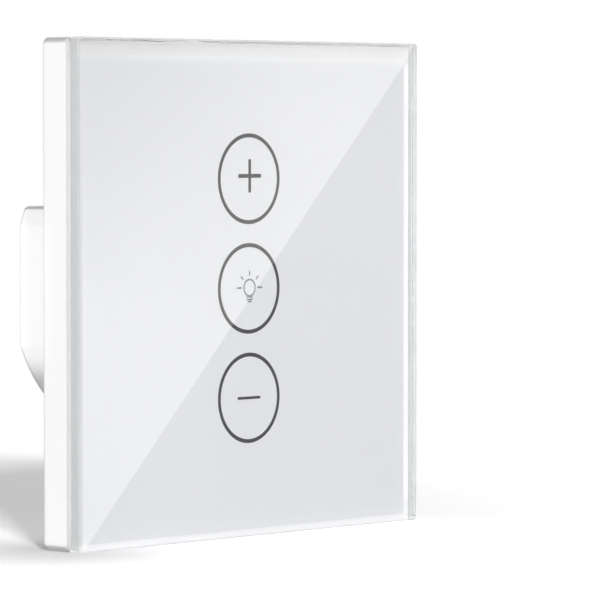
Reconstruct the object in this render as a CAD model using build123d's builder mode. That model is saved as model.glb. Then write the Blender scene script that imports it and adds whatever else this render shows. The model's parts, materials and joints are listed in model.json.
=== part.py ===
from build123d import *
import os

# Smart touch dimmer switch for a round 60 mm wall box, all sizes in millimetres.
# The origin is the middle of the wall plane. +X is right and +Z is up for someone who
# faces the switch. The glass faces -Y and the module reaches into the wall along +Y.
# Heights are counted from the wall plane towards the room, depths from it into the wall.

# Glass front
face_width = 86.0
face_height = 86.0
glass_thickness = 3.5
glass_corner = 0.6
glass_bevel = 0.45
glass_arris = 0.15

# Touch keys
key_pitch = 19.03
key_ring_radius = 7.53
key_count = 3

# White frame behind the glass
frame_depth = 5.6
frame_corner = 1.4
frame_wall = 1.8
frame_web = 1.2
frame_edge_round = 0.25
window_gap = 2.0
window_corner = 3.0
frame_rib_thickness = 1.0
frame_rib_height = 0.7
frame_rib_gap_x = 7.5
frame_rib_gap_z = 3.5
pry_notch_width = 12.0
pry_notch_height = 1.1

# Tape between the frame and the glass
tape_inset = 2.4
tape_width = 5.0
tape_thickness = 0.25

# Snap nibs of the frame and their windows in the plate
nib_pitch = 52.0
nib_length = 6.0
nib_reach = 0.8
nib_low = 1.5
nib_high = 2.75
nib_window_gap = 0.5
nib_window_low = 1.4
nib_window_high = 2.9

# Folded steel mounting plate
plate_thickness = 1.0
plate_gap = 0.35
flange_height = 3.4
bend_radius = 1.3
bend_inner_radius = 0.3
corner_relief = 5.0
wall_screw_pitch = 60.0
wall_slot_length = 8.0
wall_slot_width = 4.2
pad_rise = 0.6
pad_margin = 0.5
pad_slope = 0.4

# Module housing in the wall box
module_radius = 27.0
side_flat = 25.05
deep_top = 14.25
module_depth = 24.5
ledge_depth = 16.0
housing_wall = 1.8
housing_round = 1.2
ledge_chamfer = 0.8
deep_corner_round = 1.0
deep_shoulder_x = 23.8
deep_shoulder_z = 10.9
rib_thickness = 1.4
rib_reach = 2.0
flat_rib_reach = 1.2
flat_rib_z = 4.0
floor_rib_angles = (235.0, 270.0, 305.0)
ledge_rib_angles = (48.0, 132.0)

# Screws that join the cover, the plate and the housing
cover_screw_x = 19.4
cover_screw_z = 13.4
cover_screw_radius = 1.3
cover_screw_length = 8.6
cover_screw_head_radius = 2.3
cover_screw_head_height = 1.5
boss_radius = 2.6
boss_depth = 9.0
thread_clearance = 0.03
hole_clearance = 0.15

# Cover with its dish for the parts behind the touch board
cover_screw_margin = 4.0
cover_margin = 3.0
cover_corner = 4.0
cover_thickness = 1.0
dish_width = 32.0
dish_height = 40.0
dish_corner = 2.5
dish_wall = 1.2
dish_depth = 2.2
dish_clearance = 0.5

# Touch board and what stands on it
touch_board_width = 30.0
touch_board_margin = 1.44
touch_board_corner = 1.5
touch_board_thickness = 1.0
touch_post_height = 0.5
touch_post_width = 3.2
touch_peg_radius = 0.9
touch_peg_inset = 2.4
peg_clearance = 0.1
board_clip_gap = 0.25
board_clip_thickness = 1.1
board_clip_length = 5.0
board_clip_catch = 0.6
board_clip_catch_height = 0.6
board_clip_z = 9.0
well_gap = 0.6
shroud_wall = 1.4
shroud_gap = 0.2
shroud_peg_radius = 0.7
shroud_peg_x = 8.3
spring_wire = 0.4
spring_foot_radius = 3.4
spring_pitch = 0.75
spring_taper = 20.0
spring_gap = 0.08
lamp_width = 1.6
lamp_depth = 0.8
lamp_height = 0.65
lamp_side = 5.6

# Wireless module, touch controller and header between the boards
wireless_width = 16.0
wireless_length = 23.0
wireless_thickness = 0.8
wireless_z = 6.5
shield_width = 13.0
shield_length = 14.0
shield_height = 2.0
shield_edge = 0.2
chip_body_width = 9.9
chip_body_length = 3.9
chip_body_height = 1.45
chip_lead_span = 6.0
chip_lead_width = 0.42
chip_lead_height = 0.75
touch_chip_z = -10.3
pin_pitch = 2.54
pin_count = 5
pin_size = 0.64
header_z = -17.0
header_depth = 2.5
header_height = 2.5
socket_height = 3.4
socket_hole = 0.74
pin_tip_gap = 0.4

# Power board
power_board_depth = 4.8
power_board_thickness = 1.6
board_gap = 0.4
hold_pad_width = 2.2
hold_pad_x = 12.0
hold_pad_z = 12.5

# Parts on the power board, by their centres on it
transformer_x = -11.5
transformer_z = -1.5
transformer_width = 13.0
transformer_length = 12.5
transformer_height = 12.0
core_leg = 3.0
bobbin_flange = 0.9
bulk_can_radius = 4.0
bulk_can_height = 13.0
bulk_can_places = ((-9.5, -15.5), (0.0, -18.2))
output_can_radius = 3.15
output_can_height = 8.0
output_can_x = 9.6
output_can_z = -16.6
can_round = 0.5
film_width = 12.5
film_thickness = 5.0
film_height = 11.0
film_x = -9.8
film_z = 8.8
fuse_length = 8.4
fuse_thickness = 4.0
fuse_height = 7.7
fuse_x = 19.9
fuse_z = -3.6
varistor_radius = 4.6
varistor_thickness = 3.4
varistor_x = 5.4
varistor_z = -3.0
lead_radius = 0.35
lead_gap = 2.0
inductor_radius = 4.0
inductor_waist = 3.1
inductor_height = 7.5
inductor_flange = 1.2
inductor_x = 13.0
inductor_z = -8.6
bridge_x = 13.0
bridge_z = -1.2
bridge_width = 4.8
bridge_length = 3.9
bridge_height = 2.4
converter_x = -1.2
converter_z = -2.8
controller_x = 1.0
controller_z = -9.8
small_chip_width = 4.9
small_chip_length = 3.9

# Dimming transistors on their heat sink
sink_x = 9.5
sink_width = 23.0
sink_thickness = 1.5
sink_height = 16.0
sink_z = 8.9
sink_fin = 2.2
transistor_pitch = 12.0
transistor_width = 10.0
transistor_thickness = 3.6
transistor_body_height = 8.0
transistor_tab_height = 5.0
transistor_tab_thickness = 1.2
transistor_hole_offset = 2.6
transistor_lead_length = 2.6
transistor_lead_pitch = 2.54
pad_sheet_thickness = 0.2
tab_screw_radius = 1.25
tab_screw_head_radius = 2.2
tab_screw_head_height = 1.4

# Rising-clamp terminals
poles = ("line", "neutral", "load")
pole_pitch = 7.5
bay_gap = 0.2
block_top = 24.2
block_inner_wall = 1.5
block_outer_wall = 2.45
chamber_width = 5.4
chamber_depth = 13.9
wire_radius = 1.45
wire_depth = 7.5
wire_mouth = 0.6
clamp_width = 5.0
clamp_length = 5.2
clamp_wall = 0.7
clamp_floor = 0.7
clamp_roof = 1.2
clamp_rest_gap = 0.4
clamp_travel = 2.5
wire_opening = 3.1
bar_thickness = 0.7
bar_width = 3.2
bar_clearance = 0.1
bar_leg_width = 1.4
bar_leg_reach = 0.6
terminal_screw_radius = 1.5
terminal_thread_clearance = 0.05
terminal_head_radius = 1.95
terminal_head_height = 1.5
terminal_bore_radius = 2.1
terminal_slot_width = 0.7
terminal_slot_depth = 0.8
screw_tip_gap = 0.05

# Places worked out from the sizes above
key_places = [key_pitch * (index - (key_count - 1) / 2) for index in range(key_count)]
frame_inner_width = face_width - 2 * frame_wall
frame_inner_height = face_height - 2 * frame_wall
plate_width = frame_inner_width - 2 * plate_gap
plate_height = frame_inner_height - 2 * plate_gap
well_radius = key_ring_radius + well_gap
shroud_width = 2 * (well_radius + shroud_wall)
shroud_height = key_pitch * (key_count - 1) + shroud_width
touch_board_height = shroud_height + 2 * touch_board_margin
window_width = touch_board_width + 2 * window_gap
window_height = touch_board_height + 2 * window_gap
frame_rib_x = window_width / 2 + frame_rib_gap_x
frame_rib_z = window_height / 2 + frame_rib_gap_z
cover_width = 2 * (cover_screw_x + cover_screw_margin)
cover_height = touch_board_height + 2 * cover_margin
mouth_height = pad_rise
cover_back = plate_thickness + pad_rise
cover_front = cover_back + cover_thickness
touch_board_back = cover_front + touch_post_height
touch_board_front = touch_board_back + touch_board_thickness
power_board_front = power_board_depth - power_board_thickness
touch_peg_x = touch_board_width / 2 - touch_peg_inset
touch_peg_z = touch_board_height / 2 - touch_peg_inset
touch_peg_places = ((-touch_peg_x, -touch_peg_z), (touch_peg_x, touch_peg_z))
shroud_peg_places = ((-shroud_peg_x, key_pitch / 2), (shroud_peg_x, -key_pitch / 2))
bay_half_width = pole_pitch * len(poles) / 2 + bay_gap
block_bottom = deep_top + bay_gap
chamber_low = block_bottom + block_inner_wall
chamber_high = block_top - block_outer_wall
clamp_z = (chamber_low + chamber_high) / 2
clamp_back_floor = power_board_depth + clamp_rest_gap
bar_depth = clamp_back_floor + clamp_floor + wire_opening
bar_low = block_bottom + 0.75
bar_high = chamber_high - bar_clearance
tab_face_z = sink_z - sink_thickness / 2 - pad_sheet_thickness
body_depth = power_board_depth + transistor_lead_length + transistor_body_height
tab_hole_depth = body_depth + transistor_hole_offset


def at_height(height):
    """Plane parallel to the wall, this far in front of it, facing the room."""
    return Plane.XZ.offset(height)


def at_depth(depth):
    """Plane parallel to the wall, this far behind it, facing the room."""
    return Plane.XZ.offset(-depth)


def nib_planes():
    """One plane for each snap nib, on the frame's inner wall, X inwards and Y to the room."""
    room = Vector(0, -1, 0)
    planes = []
    for side in range(4):
        inward = Vector(-1, 0, 0).rotate(Axis.Y, 90 * side)
        along = inward.cross(room)
        reach = (frame_inner_width if side % 2 == 0 else frame_inner_height) / 2
        for place in (-nib_pitch / 2, nib_pitch / 2):
            origin = along * place - inward * reach
            planes.append(Plane(origin=origin, x_dir=inward, z_dir=along))
    return planes


def tape_outline():
    """Ring of the tape, between the frame's edge and its window."""
    with BuildSketch(mode=Mode.PRIVATE) as outline:
        Rectangle(face_width - 2 * tape_inset, face_height - 2 * tape_inset)
        Rectangle(
            face_width - 2 * (tape_inset + tape_width),
            face_height - 2 * (tape_inset + tape_width),
            mode=Mode.SUBTRACT,
        )
    return outline.sketch


def module_outline(inset, top):
    """Section of the module: a circle with two side flats, cut level at top."""
    height = top - inset + module_radius
    with BuildSketch(mode=Mode.PRIVATE) as outline:
        Circle(module_radius - inset)
        with Locations((0, (top - inset - module_radius) / 2)):
            Rectangle(2 * (side_flat - inset), height, mode=Mode.INTERSECT)
    return outline.sketch


os.makedirs("parts", exist_ok=True)

# Glass panel
with BuildPart() as glass_panel:
    with BuildSketch(at_height(frame_depth)):
        RectangleRounded(face_width, face_height, glass_corner)
    extrude(amount=glass_thickness)
    chamfer(glass_panel.faces().sort_by(Axis.Y)[0].edges(), glass_bevel)
    chamfer(glass_panel.faces().sort_by(Axis.Y)[-1].edges(), glass_arris)
glass_panel.part.label = "glass_panel"
export_step(glass_panel.part, "parts/glass_panel.step")

# White frame: a shallow tray with a window for the touch board
with BuildPart() as panel_frame:
    with BuildSketch(at_height(0)):
        RectangleRounded(face_width, face_height, frame_corner)
    extrude(amount=frame_depth)
    chamfer(panel_frame.faces().sort_by(Axis.Y)[-1].edges(), frame_edge_round)
    with BuildSketch(at_height(0)):
        RectangleRounded(frame_inner_width, frame_inner_height, frame_edge_round)
    extrude(amount=frame_depth - frame_web, mode=Mode.SUBTRACT)
    with BuildSketch(at_height(frame_depth - frame_web)):
        RectangleRounded(window_width, window_height, window_corner)
    extrude(amount=frame_web, mode=Mode.SUBTRACT)
    with BuildSketch(at_height(frame_depth - tape_thickness)):
        add(tape_outline())
    extrude(amount=tape_thickness, mode=Mode.SUBTRACT)
    with BuildSketch(at_height(frame_depth - frame_web - frame_rib_height)):
        with GridLocations(2 * frame_rib_x, 0, 2, 1):
            Rectangle(frame_rib_thickness, frame_inner_height)
        with GridLocations(0, 2 * frame_rib_z, 1, 2):
            Rectangle(frame_inner_width, frame_rib_thickness)
    extrude(amount=frame_rib_height)
    with BuildSketch(*nib_planes()):
        with BuildLine():
            Polyline(
                (0, nib_low),
                (nib_reach, nib_low + nib_window_gap / 2),
                (nib_reach, nib_high - nib_reach),
                (0, nib_high),
                close=True,
            )
        make_face()
    extrude(amount=nib_length / 2, both=True)
    with BuildSketch(at_height(0)):
        with Locations((0, frame_wall - face_height / 2)):
            Rectangle(pry_notch_width, 2 * frame_wall + 1)
    extrude(amount=pry_notch_height, mode=Mode.SUBTRACT)
panel_frame.part.label = "panel_frame"
export_step(panel_frame.part, "parts/panel_frame.step")

# Double-sided tape ring in the frame's channel
with BuildPart() as adhesive_tape:
    with BuildSketch(at_height(frame_depth - tape_thickness)):
        add(tape_outline())
    extrude(amount=tape_thickness)
adhesive_tape.part.label = "adhesive_tape"
export_step(adhesive_tape.part, "parts/adhesive_tape.step")

# Mounting plate: folded steel with four flanges and a pressed field for the module
with BuildPart() as mounting_plate:
    with BuildSketch(at_height(0)):
        RectangleRounded(plate_width, plate_height, bend_radius)
    extrude(amount=flange_height)
    fillet(mounting_plate.faces().sort_by(Axis.Y)[-1].edges(), bend_radius)
    with BuildSketch(at_height(plate_thickness)):
        RectangleRounded(
            plate_width - 2 * plate_thickness,
            plate_height - 2 * plate_thickness,
            bend_inner_radius,
        )
    extrude(amount=flange_height, mode=Mode.SUBTRACT)
    with BuildSketch(at_height(plate_thickness)):
        with GridLocations(plate_width, plate_height, 2, 2):
            Rectangle(2 * corner_relief, 2 * corner_relief)
    extrude(amount=flange_height, mode=Mode.SUBTRACT)
    with BuildSketch(at_height(0)):
        add(module_outline(-pad_margin - pad_slope, module_radius))
    extrude(amount=plate_thickness + pad_rise)
    with BuildSketch(at_height(0)):
        add(module_outline(-pad_margin, module_radius))
    extrude(amount=pad_rise, mode=Mode.SUBTRACT)
    with BuildSketch(at_height(0)):
        RectangleRounded(
            dish_width + 2 * dish_clearance,
            dish_height + 2 * dish_clearance,
            dish_corner + dish_clearance,
        )
        with GridLocations(2 * cover_screw_x, 2 * cover_screw_z, 2, 2):
            Circle(cover_screw_radius + hole_clearance)
        with GridLocations(wall_screw_pitch, 0, 2, 1):
            SlotOverall(wall_slot_length, wall_slot_width)
    extrude(amount=cover_back, mode=Mode.SUBTRACT)
    with BuildSketch(*nib_planes()):
        with Locations((plate_gap, (nib_window_low + nib_window_high) / 2)):
            Rectangle(4 * plate_thickness, nib_window_high - nib_window_low)
    extrude(amount=nib_length / 2 + nib_window_gap, both=True, mode=Mode.SUBTRACT)
mounting_plate.part.label = "mounting_plate"
export_step(mounting_plate.part, "parts/mounting_plate.step")

# Cover of the module: a plate with a dish, board posts, board clips and hold-down pads
with BuildPart() as module_cover:
    with BuildSketch(at_height(cover_back)):
        RectangleRounded(cover_width, cover_height, cover_corner)
    extrude(amount=cover_thickness)
    with BuildSketch(at_depth(dish_depth)):
        RectangleRounded(dish_width, dish_height, dish_corner)
    extrude(amount=dish_depth + cover_front)
    with BuildSketch(at_depth(dish_depth - dish_wall)):
        RectangleRounded(
            dish_width - 2 * dish_wall,
            dish_height - 2 * dish_wall,
            dish_corner - dish_wall,
        )
    extrude(amount=dish_depth + cover_front, mode=Mode.SUBTRACT)
    with BuildSketch(at_height(cover_front)):
        with GridLocations(
            touch_board_width - 2 * touch_peg_inset,
            touch_board_height - 2 * touch_peg_inset,
            2,
            2,
        ):
            Rectangle(touch_post_width, touch_post_width)
    extrude(amount=touch_post_height)
    with BuildSketch(at_height(touch_board_back)):
        with Locations(*touch_peg_places):
            Circle(touch_peg_radius)
    extrude(amount=touch_board_thickness + peg_clearance)
    clip_face = touch_board_width / 2 + board_clip_gap
    for side in (-1, 1):
        for clip_z in (-board_clip_z, board_clip_z):
            with BuildSketch(Plane.XY.offset(clip_z)):
                with BuildLine():
                    Polyline(
                        (side * clip_face, -cover_front),
                        (side * clip_face, -touch_board_front),
                        (side * (clip_face - board_clip_catch), -touch_board_front),
                        (side * clip_face, -touch_board_front - board_clip_catch_height),
                        (
                            side * (clip_face + board_clip_thickness),
                            -touch_board_front - board_clip_catch_height,
                        ),
                        (side * (clip_face + board_clip_thickness), -cover_front),
                        close=True,
                    )
                make_face()
            extrude(amount=board_clip_length / 2, both=True)
    with BuildSketch(at_depth(power_board_front)):
        with GridLocations(2 * hold_pad_x, 2 * hold_pad_z, 2, 2):
            Rectangle(hold_pad_width, hold_pad_width)
    extrude(amount=power_board_front - dish_depth)
    with BuildSketch(at_depth(dish_depth)):
        with Locations((0, header_z)):
            Rectangle(
                pin_count * pin_pitch + 2 * dish_clearance,
                header_depth + 2 * dish_clearance,
            )
    extrude(amount=dish_wall, mode=Mode.SUBTRACT)
    with BuildSketch(at_height(cover_back)):
        with GridLocations(2 * cover_screw_x, 2 * cover_screw_z, 2, 2):
            Circle(cover_screw_radius + hole_clearance)
    extrude(amount=cover_thickness, mode=Mode.SUBTRACT)
module_cover.part.label = "module_cover"
export_step(module_cover.part, "parts/module_cover.step")

# Four self-tapping screws through the cover and the plate into the housing
with BuildPart() as cover_screws:
    with BuildSketch(at_height(cover_front)):
        with GridLocations(2 * cover_screw_x, 2 * cover_screw_z, 2, 2):
            Circle(cover_screw_head_radius)
    extrude(amount=cover_screw_head_height)
    with BuildSketch(at_height(cover_front - cover_screw_length)):
        with GridLocations(2 * cover_screw_x, 2 * cover_screw_z, 2, 2):
            Circle(cover_screw_radius)
    extrude(amount=cover_screw_length)
cover_screws.part.label = "cover_screws"
export_step(cover_screws.part, "parts/cover_screws.step")

# Module housing: deep round box, a shallower ledge above it, and the terminal bay
with BuildPart() as back_housing:
    with BuildSketch(at_depth(ledge_depth)):
        add(module_outline(0, module_radius))
    extrude(amount=ledge_depth + mouth_height)
    with BuildSketch(at_depth(module_depth)) as deep_section:
        add(module_outline(0, deep_top))
        Polygon(
            (-side_flat, 0),
            (side_flat, 0),
            (side_flat, deep_shoulder_z),
            (deep_shoulder_x, deep_top),
            (-deep_shoulder_x, deep_top),
            (-side_flat, deep_shoulder_z),
            align=None,
        )
        fillet(deep_section.vertices().group_by(Axis.Y)[-1], deep_corner_round)
    extrude(amount=module_depth - ledge_depth)
    fillet(back_housing.faces().sort_by(Axis.Y)[-1].edges(), housing_round)
    ledge_arc = (
        back_housing.edges()
        .filter_by_position(Axis.Y, ledge_depth - 0.01, ledge_depth + 0.01)
        .sort_by(Axis.Z)[-1]
    )
    chamfer(ledge_arc, ledge_chamfer)
    with BuildSketch(at_depth(ledge_depth - housing_wall)):
        add(module_outline(housing_wall, module_radius))
    extrude(amount=ledge_depth - housing_wall + mouth_height, mode=Mode.SUBTRACT)
    with BuildSketch(at_depth(module_depth - housing_wall)):
        add(module_outline(housing_wall, deep_top))
    extrude(amount=module_depth - housing_wall + mouth_height, mode=Mode.SUBTRACT)
    with BuildSketch(at_depth(ledge_depth)):
        add(module_outline(0, module_radius))
        with Locations((0, deep_top - housing_wall)):
            Rectangle(
                2 * (bay_half_width + housing_wall),
                2 * module_radius,
                align=(Align.CENTER, Align.MIN),
                mode=Mode.INTERSECT,
            )
    extrude(amount=ledge_depth - power_board_depth - peg_clearance)
    with BuildSketch(at_depth(ledge_depth)):
        with Locations((0, deep_top)):
            Rectangle(
                2 * bay_half_width,
                module_radius,
                align=(Align.CENTER, Align.MIN),
            )
    extrude(amount=ledge_depth - power_board_depth + bay_gap, mode=Mode.SUBTRACT)
    with BuildSketch(at_depth(boss_depth)):
        with GridLocations(2 * cover_screw_x, 2 * cover_screw_z, 2, 2):
            Circle(boss_radius)
    extrude(amount=boss_depth + mouth_height)
    with BuildSketch(at_depth(module_depth - housing_wall)):
        for angle in floor_rib_angles:
            with PolarLocations(module_radius - housing_wall, 1, angle):
                Rectangle(2 * rib_reach, rib_thickness)
        with GridLocations(2 * (side_flat - housing_wall), 0, 2, 1):
            with Locations((0, flat_rib_z)):
                Rectangle(2 * flat_rib_reach, rib_thickness)
        add(module_outline(housing_wall / 2, deep_top), mode=Mode.INTERSECT)
    extrude(amount=module_depth - housing_wall - power_board_depth)
    with BuildSketch(at_depth(ledge_depth - housing_wall)):
        for angle in ledge_rib_angles:
            with PolarLocations(module_radius - housing_wall, 1, angle):
                Rectangle(2 * rib_reach, rib_thickness)
        add(module_outline(housing_wall / 2, module_radius), mode=Mode.INTERSECT)
    extrude(amount=ledge_depth - housing_wall - power_board_depth)
    with BuildSketch(at_depth(boss_depth)):
        with GridLocations(2 * cover_screw_x, 2 * cover_screw_z, 2, 2):
            Circle(cover_screw_radius + thread_clearance)
    extrude(amount=boss_depth + mouth_height, mode=Mode.SUBTRACT)
back_housing.part.label = "back_housing"
export_step(back_housing.part, "parts/back_housing.step")

# Touch board, placed by two pegs and held by two pairs of clips
with BuildPart() as touch_board:
    with BuildSketch(at_height(touch_board_back)):
        RectangleRounded(touch_board_width, touch_board_height, touch_board_corner)
        with Locations(*touch_peg_places):
            Circle(touch_peg_radius + peg_clearance, mode=Mode.SUBTRACT)
        with Locations(*shroud_peg_places):
            Circle(shroud_peg_radius + peg_clearance, mode=Mode.SUBTRACT)
        with Locations((0, header_z)):
            with GridLocations(pin_pitch, 0, pin_count, 1):
                Rectangle(socket_hole, socket_hole, mode=Mode.SUBTRACT)
    extrude(amount=touch_board_thickness)
touch_board.part.label = "touch_board"
export_step(touch_board.part, "parts/touch_board.step")

# Light shroud: three wells in a row with pegs into the touch board
with BuildPart() as light_shroud:
    with BuildSketch(at_height(touch_board_front)):
        with Locations(*[(0, z) for z in key_places]):
            Circle(well_radius + shroud_wall)
        Rectangle(shroud_width, shroud_height - shroud_width)
        with Locations(*[(0, z) for z in key_places]):
            Circle(well_radius, mode=Mode.SUBTRACT)
    extrude(amount=frame_depth - shroud_gap - touch_board_front)
    with BuildSketch(at_height(touch_board_back)):
        with Locations(*shroud_peg_places):
            Circle(shroud_peg_radius)
    extrude(amount=touch_board_thickness)
light_shroud.part.label = "light_shroud"
export_step(light_shroud.part, "parts/light_shroud.step")

# Touch springs: one tapered coil from the board to the glass in each well
spring_height = frame_depth - spring_gap - touch_board_front - spring_wire - peg_clearance
with BuildPart() as touch_springs:
    for z in key_places:
        with BuildLine() as coil:
            Helix(
                pitch=spring_pitch,
                height=spring_height,
                radius=spring_foot_radius,
                center=(0, -touch_board_front - spring_wire / 2 - peg_clearance, z),
                direction=(0, -1, 0),
                cone_angle=-spring_taper,
            )
        with BuildSketch(Plane(origin=coil.line @ 0, z_dir=coil.line % 0)):
            Rectangle(spring_wire, spring_wire)
        sweep(path=coil.line, is_frenet=True)
touch_springs.part.label = "touch_springs"
export_step(touch_springs.part, "parts/touch_springs.step")

# Indicator lamps: a row of three in each well
with BuildPart() as indicator_lamps:
    with BuildSketch(at_height(touch_board_front)):
        with GridLocations(lamp_side, key_pitch, 3, key_count):
            Rectangle(lamp_width, lamp_depth)
    extrude(amount=lamp_height)
    chamfer(
        indicator_lamps.faces().group_by(Axis.Y)[0].edges(),
        lamp_height / 4,
    )
indicator_lamps.part.label = "indicator_lamps"
export_step(indicator_lamps.part, "parts/indicator_lamps.step")

# Touch controller behind the touch board, with eight leads on each side
with BuildPart() as touch_controller:
    with BuildSketch(at_height(touch_board_back - chip_body_height)):
        with Locations((0, touch_chip_z)):
            Rectangle(chip_body_width, chip_body_length)
    extrude(amount=chip_body_height)
    chamfer(touch_controller.faces().sort_by(Axis.Y)[-1].edges(), chip_body_height / 6)
    with BuildSketch(at_height(touch_board_back - chip_lead_height)):
        with Locations((0, touch_chip_z)):
            with GridLocations(pin_pitch / 2, 0, 7, 1):
                Rectangle(chip_lead_width, chip_lead_span)
    extrude(amount=chip_lead_height)
touch_controller.part.label = "touch_controller"
export_step(touch_controller.part, "parts/touch_controller.step")

# Wireless module: its small board and its metal shield
wireless_back = touch_board_back - wireless_thickness
with BuildPart() as wireless_board:
    with BuildSketch(at_height(wireless_back)):
        with Locations((0, wireless_z)):
            Rectangle(wireless_width, wireless_length)
    extrude(amount=wireless_thickness)
wireless_board.part.label = "wireless_board"
export_step(wireless_board.part, "parts/wireless_board.step")

shield_z = wireless_z - (wireless_length - shield_length) / 2 + 1
with BuildPart() as wireless_shield:
    with BuildSketch(at_height(wireless_back - shield_height)):
        with Locations((0, shield_z)):
            Rectangle(shield_width, shield_length)
    extrude(amount=shield_height)
    chamfer(wireless_shield.faces().sort_by(Axis.Y)[-1].edges(), shield_edge)
wireless_shield.part.label = "wireless_shield"
export_step(wireless_shield.part, "parts/wireless_shield.step")

# Header under the touch board, its pins, and the socket on the power board
with BuildPart() as header_strip:
    with BuildSketch(at_height(touch_board_back - header_height)):
        with Locations((0, header_z)):
            with GridLocations(pin_pitch, 0, pin_count, 1):
                Rectangle(pin_pitch, header_depth)
                Rectangle(socket_hole, socket_hole, mode=Mode.SUBTRACT)
    extrude(amount=header_height)
    chamfer(header_strip.edges().filter_by(Axis.Y).group_by(Axis.X)[0], header_depth / 6)
    chamfer(header_strip.edges().filter_by(Axis.Y).group_by(Axis.X)[-1], header_depth / 6)
header_strip.part.label = "header_strip"
export_step(header_strip.part, "parts/header_strip.step")

pin_back = power_board_front - pin_tip_gap
with BuildPart() as header_pins:
    with BuildSketch(at_depth(pin_back)):
        with Locations((0, header_z)):
            with GridLocations(pin_pitch, 0, pin_count, 1):
                Rectangle(pin_size, pin_size)
    extrude(amount=pin_back + touch_board_front - peg_clearance)
    chamfer(header_pins.faces().group_by(Axis.Y)[-1].edges(), pin_size / 5)
header_pins.part.label = "header_pins"
export_step(header_pins.part, "parts/header_pins.step")

with BuildPart() as header_socket:
    with BuildSketch(at_depth(power_board_front)):
        with Locations((0, header_z)):
            with GridLocations(pin_pitch, 0, pin_count, 1):
                Rectangle(pin_pitch, header_depth)
                Rectangle(socket_hole, socket_hole, mode=Mode.SUBTRACT)
    extrude(amount=socket_height)
header_socket.part.label = "header_socket"
export_step(header_socket.part, "parts/header_socket.step")

# Power board: fills the module, with notches round the screw bosses
with BuildPart() as power_board:
    with BuildSketch(at_depth(power_board_depth)):
        add(module_outline(housing_wall + board_gap, module_radius))
        with GridLocations(2 * cover_screw_x, 2 * cover_screw_z, 2, 2):
            Circle(boss_radius + board_gap, mode=Mode.SUBTRACT)
        with Locations((0, bar_low + bar_thickness / 2)):
            with GridLocations(pole_pitch, 0, len(poles), 1):
                Rectangle(
                    bar_leg_width + 2 * bar_clearance,
                    bar_thickness + 2 * bar_clearance,
                    mode=Mode.SUBTRACT,
                )
    extrude(amount=power_board_thickness)
power_board.part.label = "power_board"
export_step(power_board.part, "parts/power_board.step")

# Transformer: a coil former with its winding inside a ferrite core of two halves
with BuildPart() as transformer_core:
    with BuildSketch(at_depth(power_board_depth + transformer_height)):
        with Locations((transformer_x, transformer_z)):
            Rectangle(transformer_width, core_leg)
    extrude(amount=transformer_height)
    with BuildSketch(at_depth(power_board_depth + transformer_height - core_leg / 2)):
        with Locations((transformer_x, transformer_z)):
            Rectangle(transformer_width - core_leg, core_leg)
    extrude(amount=transformer_height - core_leg, mode=Mode.SUBTRACT)
    with BuildSketch(at_depth(power_board_depth + transformer_height - core_leg / 2)):
        with Locations((transformer_x, transformer_z)):
            Rectangle(core_leg, core_leg)
    extrude(amount=transformer_height - core_leg)
transformer_core.part.label = "transformer_core"
export_step(transformer_core.part, "parts/transformer_core.step")

former_height = transformer_height - core_leg - 2 * peg_clearance
former_back = power_board_depth + transformer_height - core_leg / 2 - peg_clearance
former_width = transformer_width - core_leg - 2 * peg_clearance
with BuildPart() as transformer_coil:
    with BuildSketch(at_depth(former_back)):
        with Locations((transformer_x, transformer_z)):
            RectangleRounded(
                former_width - bobbin_flange,
                transformer_length - 2 * bobbin_flange,
                bobbin_flange,
            )
    extrude(amount=former_height)
    for flange_depth in (former_back, former_back - former_height + bobbin_flange):
        with BuildSketch(at_depth(flange_depth)):
            with Locations((transformer_x, transformer_z)):
                Rectangle(former_width, transformer_length)
        extrude(amount=bobbin_flange)
    with BuildSketch(at_depth(former_back)):
        with Locations((transformer_x, transformer_z)):
            Rectangle(core_leg + 2 * peg_clearance, core_leg + 2 * peg_clearance)
    extrude(amount=former_height, mode=Mode.SUBTRACT)
transformer_coil.part.label = "transformer_coil"
export_step(transformer_coil.part, "parts/transformer_coil.step")

# Two bulk capacitors and a smaller one: upright cans
with BuildPart() as bulk_capacitors:
    for can_place in bulk_can_places:
        with BuildSketch(at_depth(power_board_depth + bulk_can_height)):
            with Locations(can_place):
                Circle(bulk_can_radius)
        extrude(amount=bulk_can_height)
    chamfer(bulk_capacitors.faces().group_by(Axis.Y)[-1].edges(), can_round)
bulk_capacitors.part.label = "bulk_capacitors"
export_step(bulk_capacitors.part, "parts/bulk_capacitors.step")

with BuildPart() as output_capacitor:
    with BuildSketch(at_depth(power_board_depth + output_can_height)):
        with Locations((output_can_x, output_can_z)):
            Circle(output_can_radius)
    extrude(amount=output_can_height)
    chamfer(output_capacitor.faces().sort_by(Axis.Y)[-1].edges(), can_round)
output_capacitor.part.label = "output_capacitor"
export_step(output_capacitor.part, "parts/output_capacitor.step")

# Film capacitor and fuse: potted boxes
with BuildPart() as film_capacitor:
    with BuildSketch(at_depth(power_board_depth + film_height)):
        with Locations((film_x, film_z)):
            Rectangle(film_width, film_thickness)
    extrude(amount=film_height)
    chamfer(film_capacitor.faces().sort_by(Axis.Y)[-1].edges(), can_round)
film_capacitor.part.label = "film_capacitor"
export_step(film_capacitor.part, "parts/film_capacitor.step")

with BuildPart() as fuse:
    with BuildSketch(at_depth(power_board_depth + fuse_height)):
        with Locations((fuse_x, fuse_z)):
            Rectangle(fuse_thickness, fuse_length)
    extrude(amount=fuse_height)
    chamfer(fuse.faces().sort_by(Axis.Y)[-1].edges(), can_round)
fuse.part.label = "fuse"
export_step(fuse.part, "parts/fuse.step")

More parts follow.
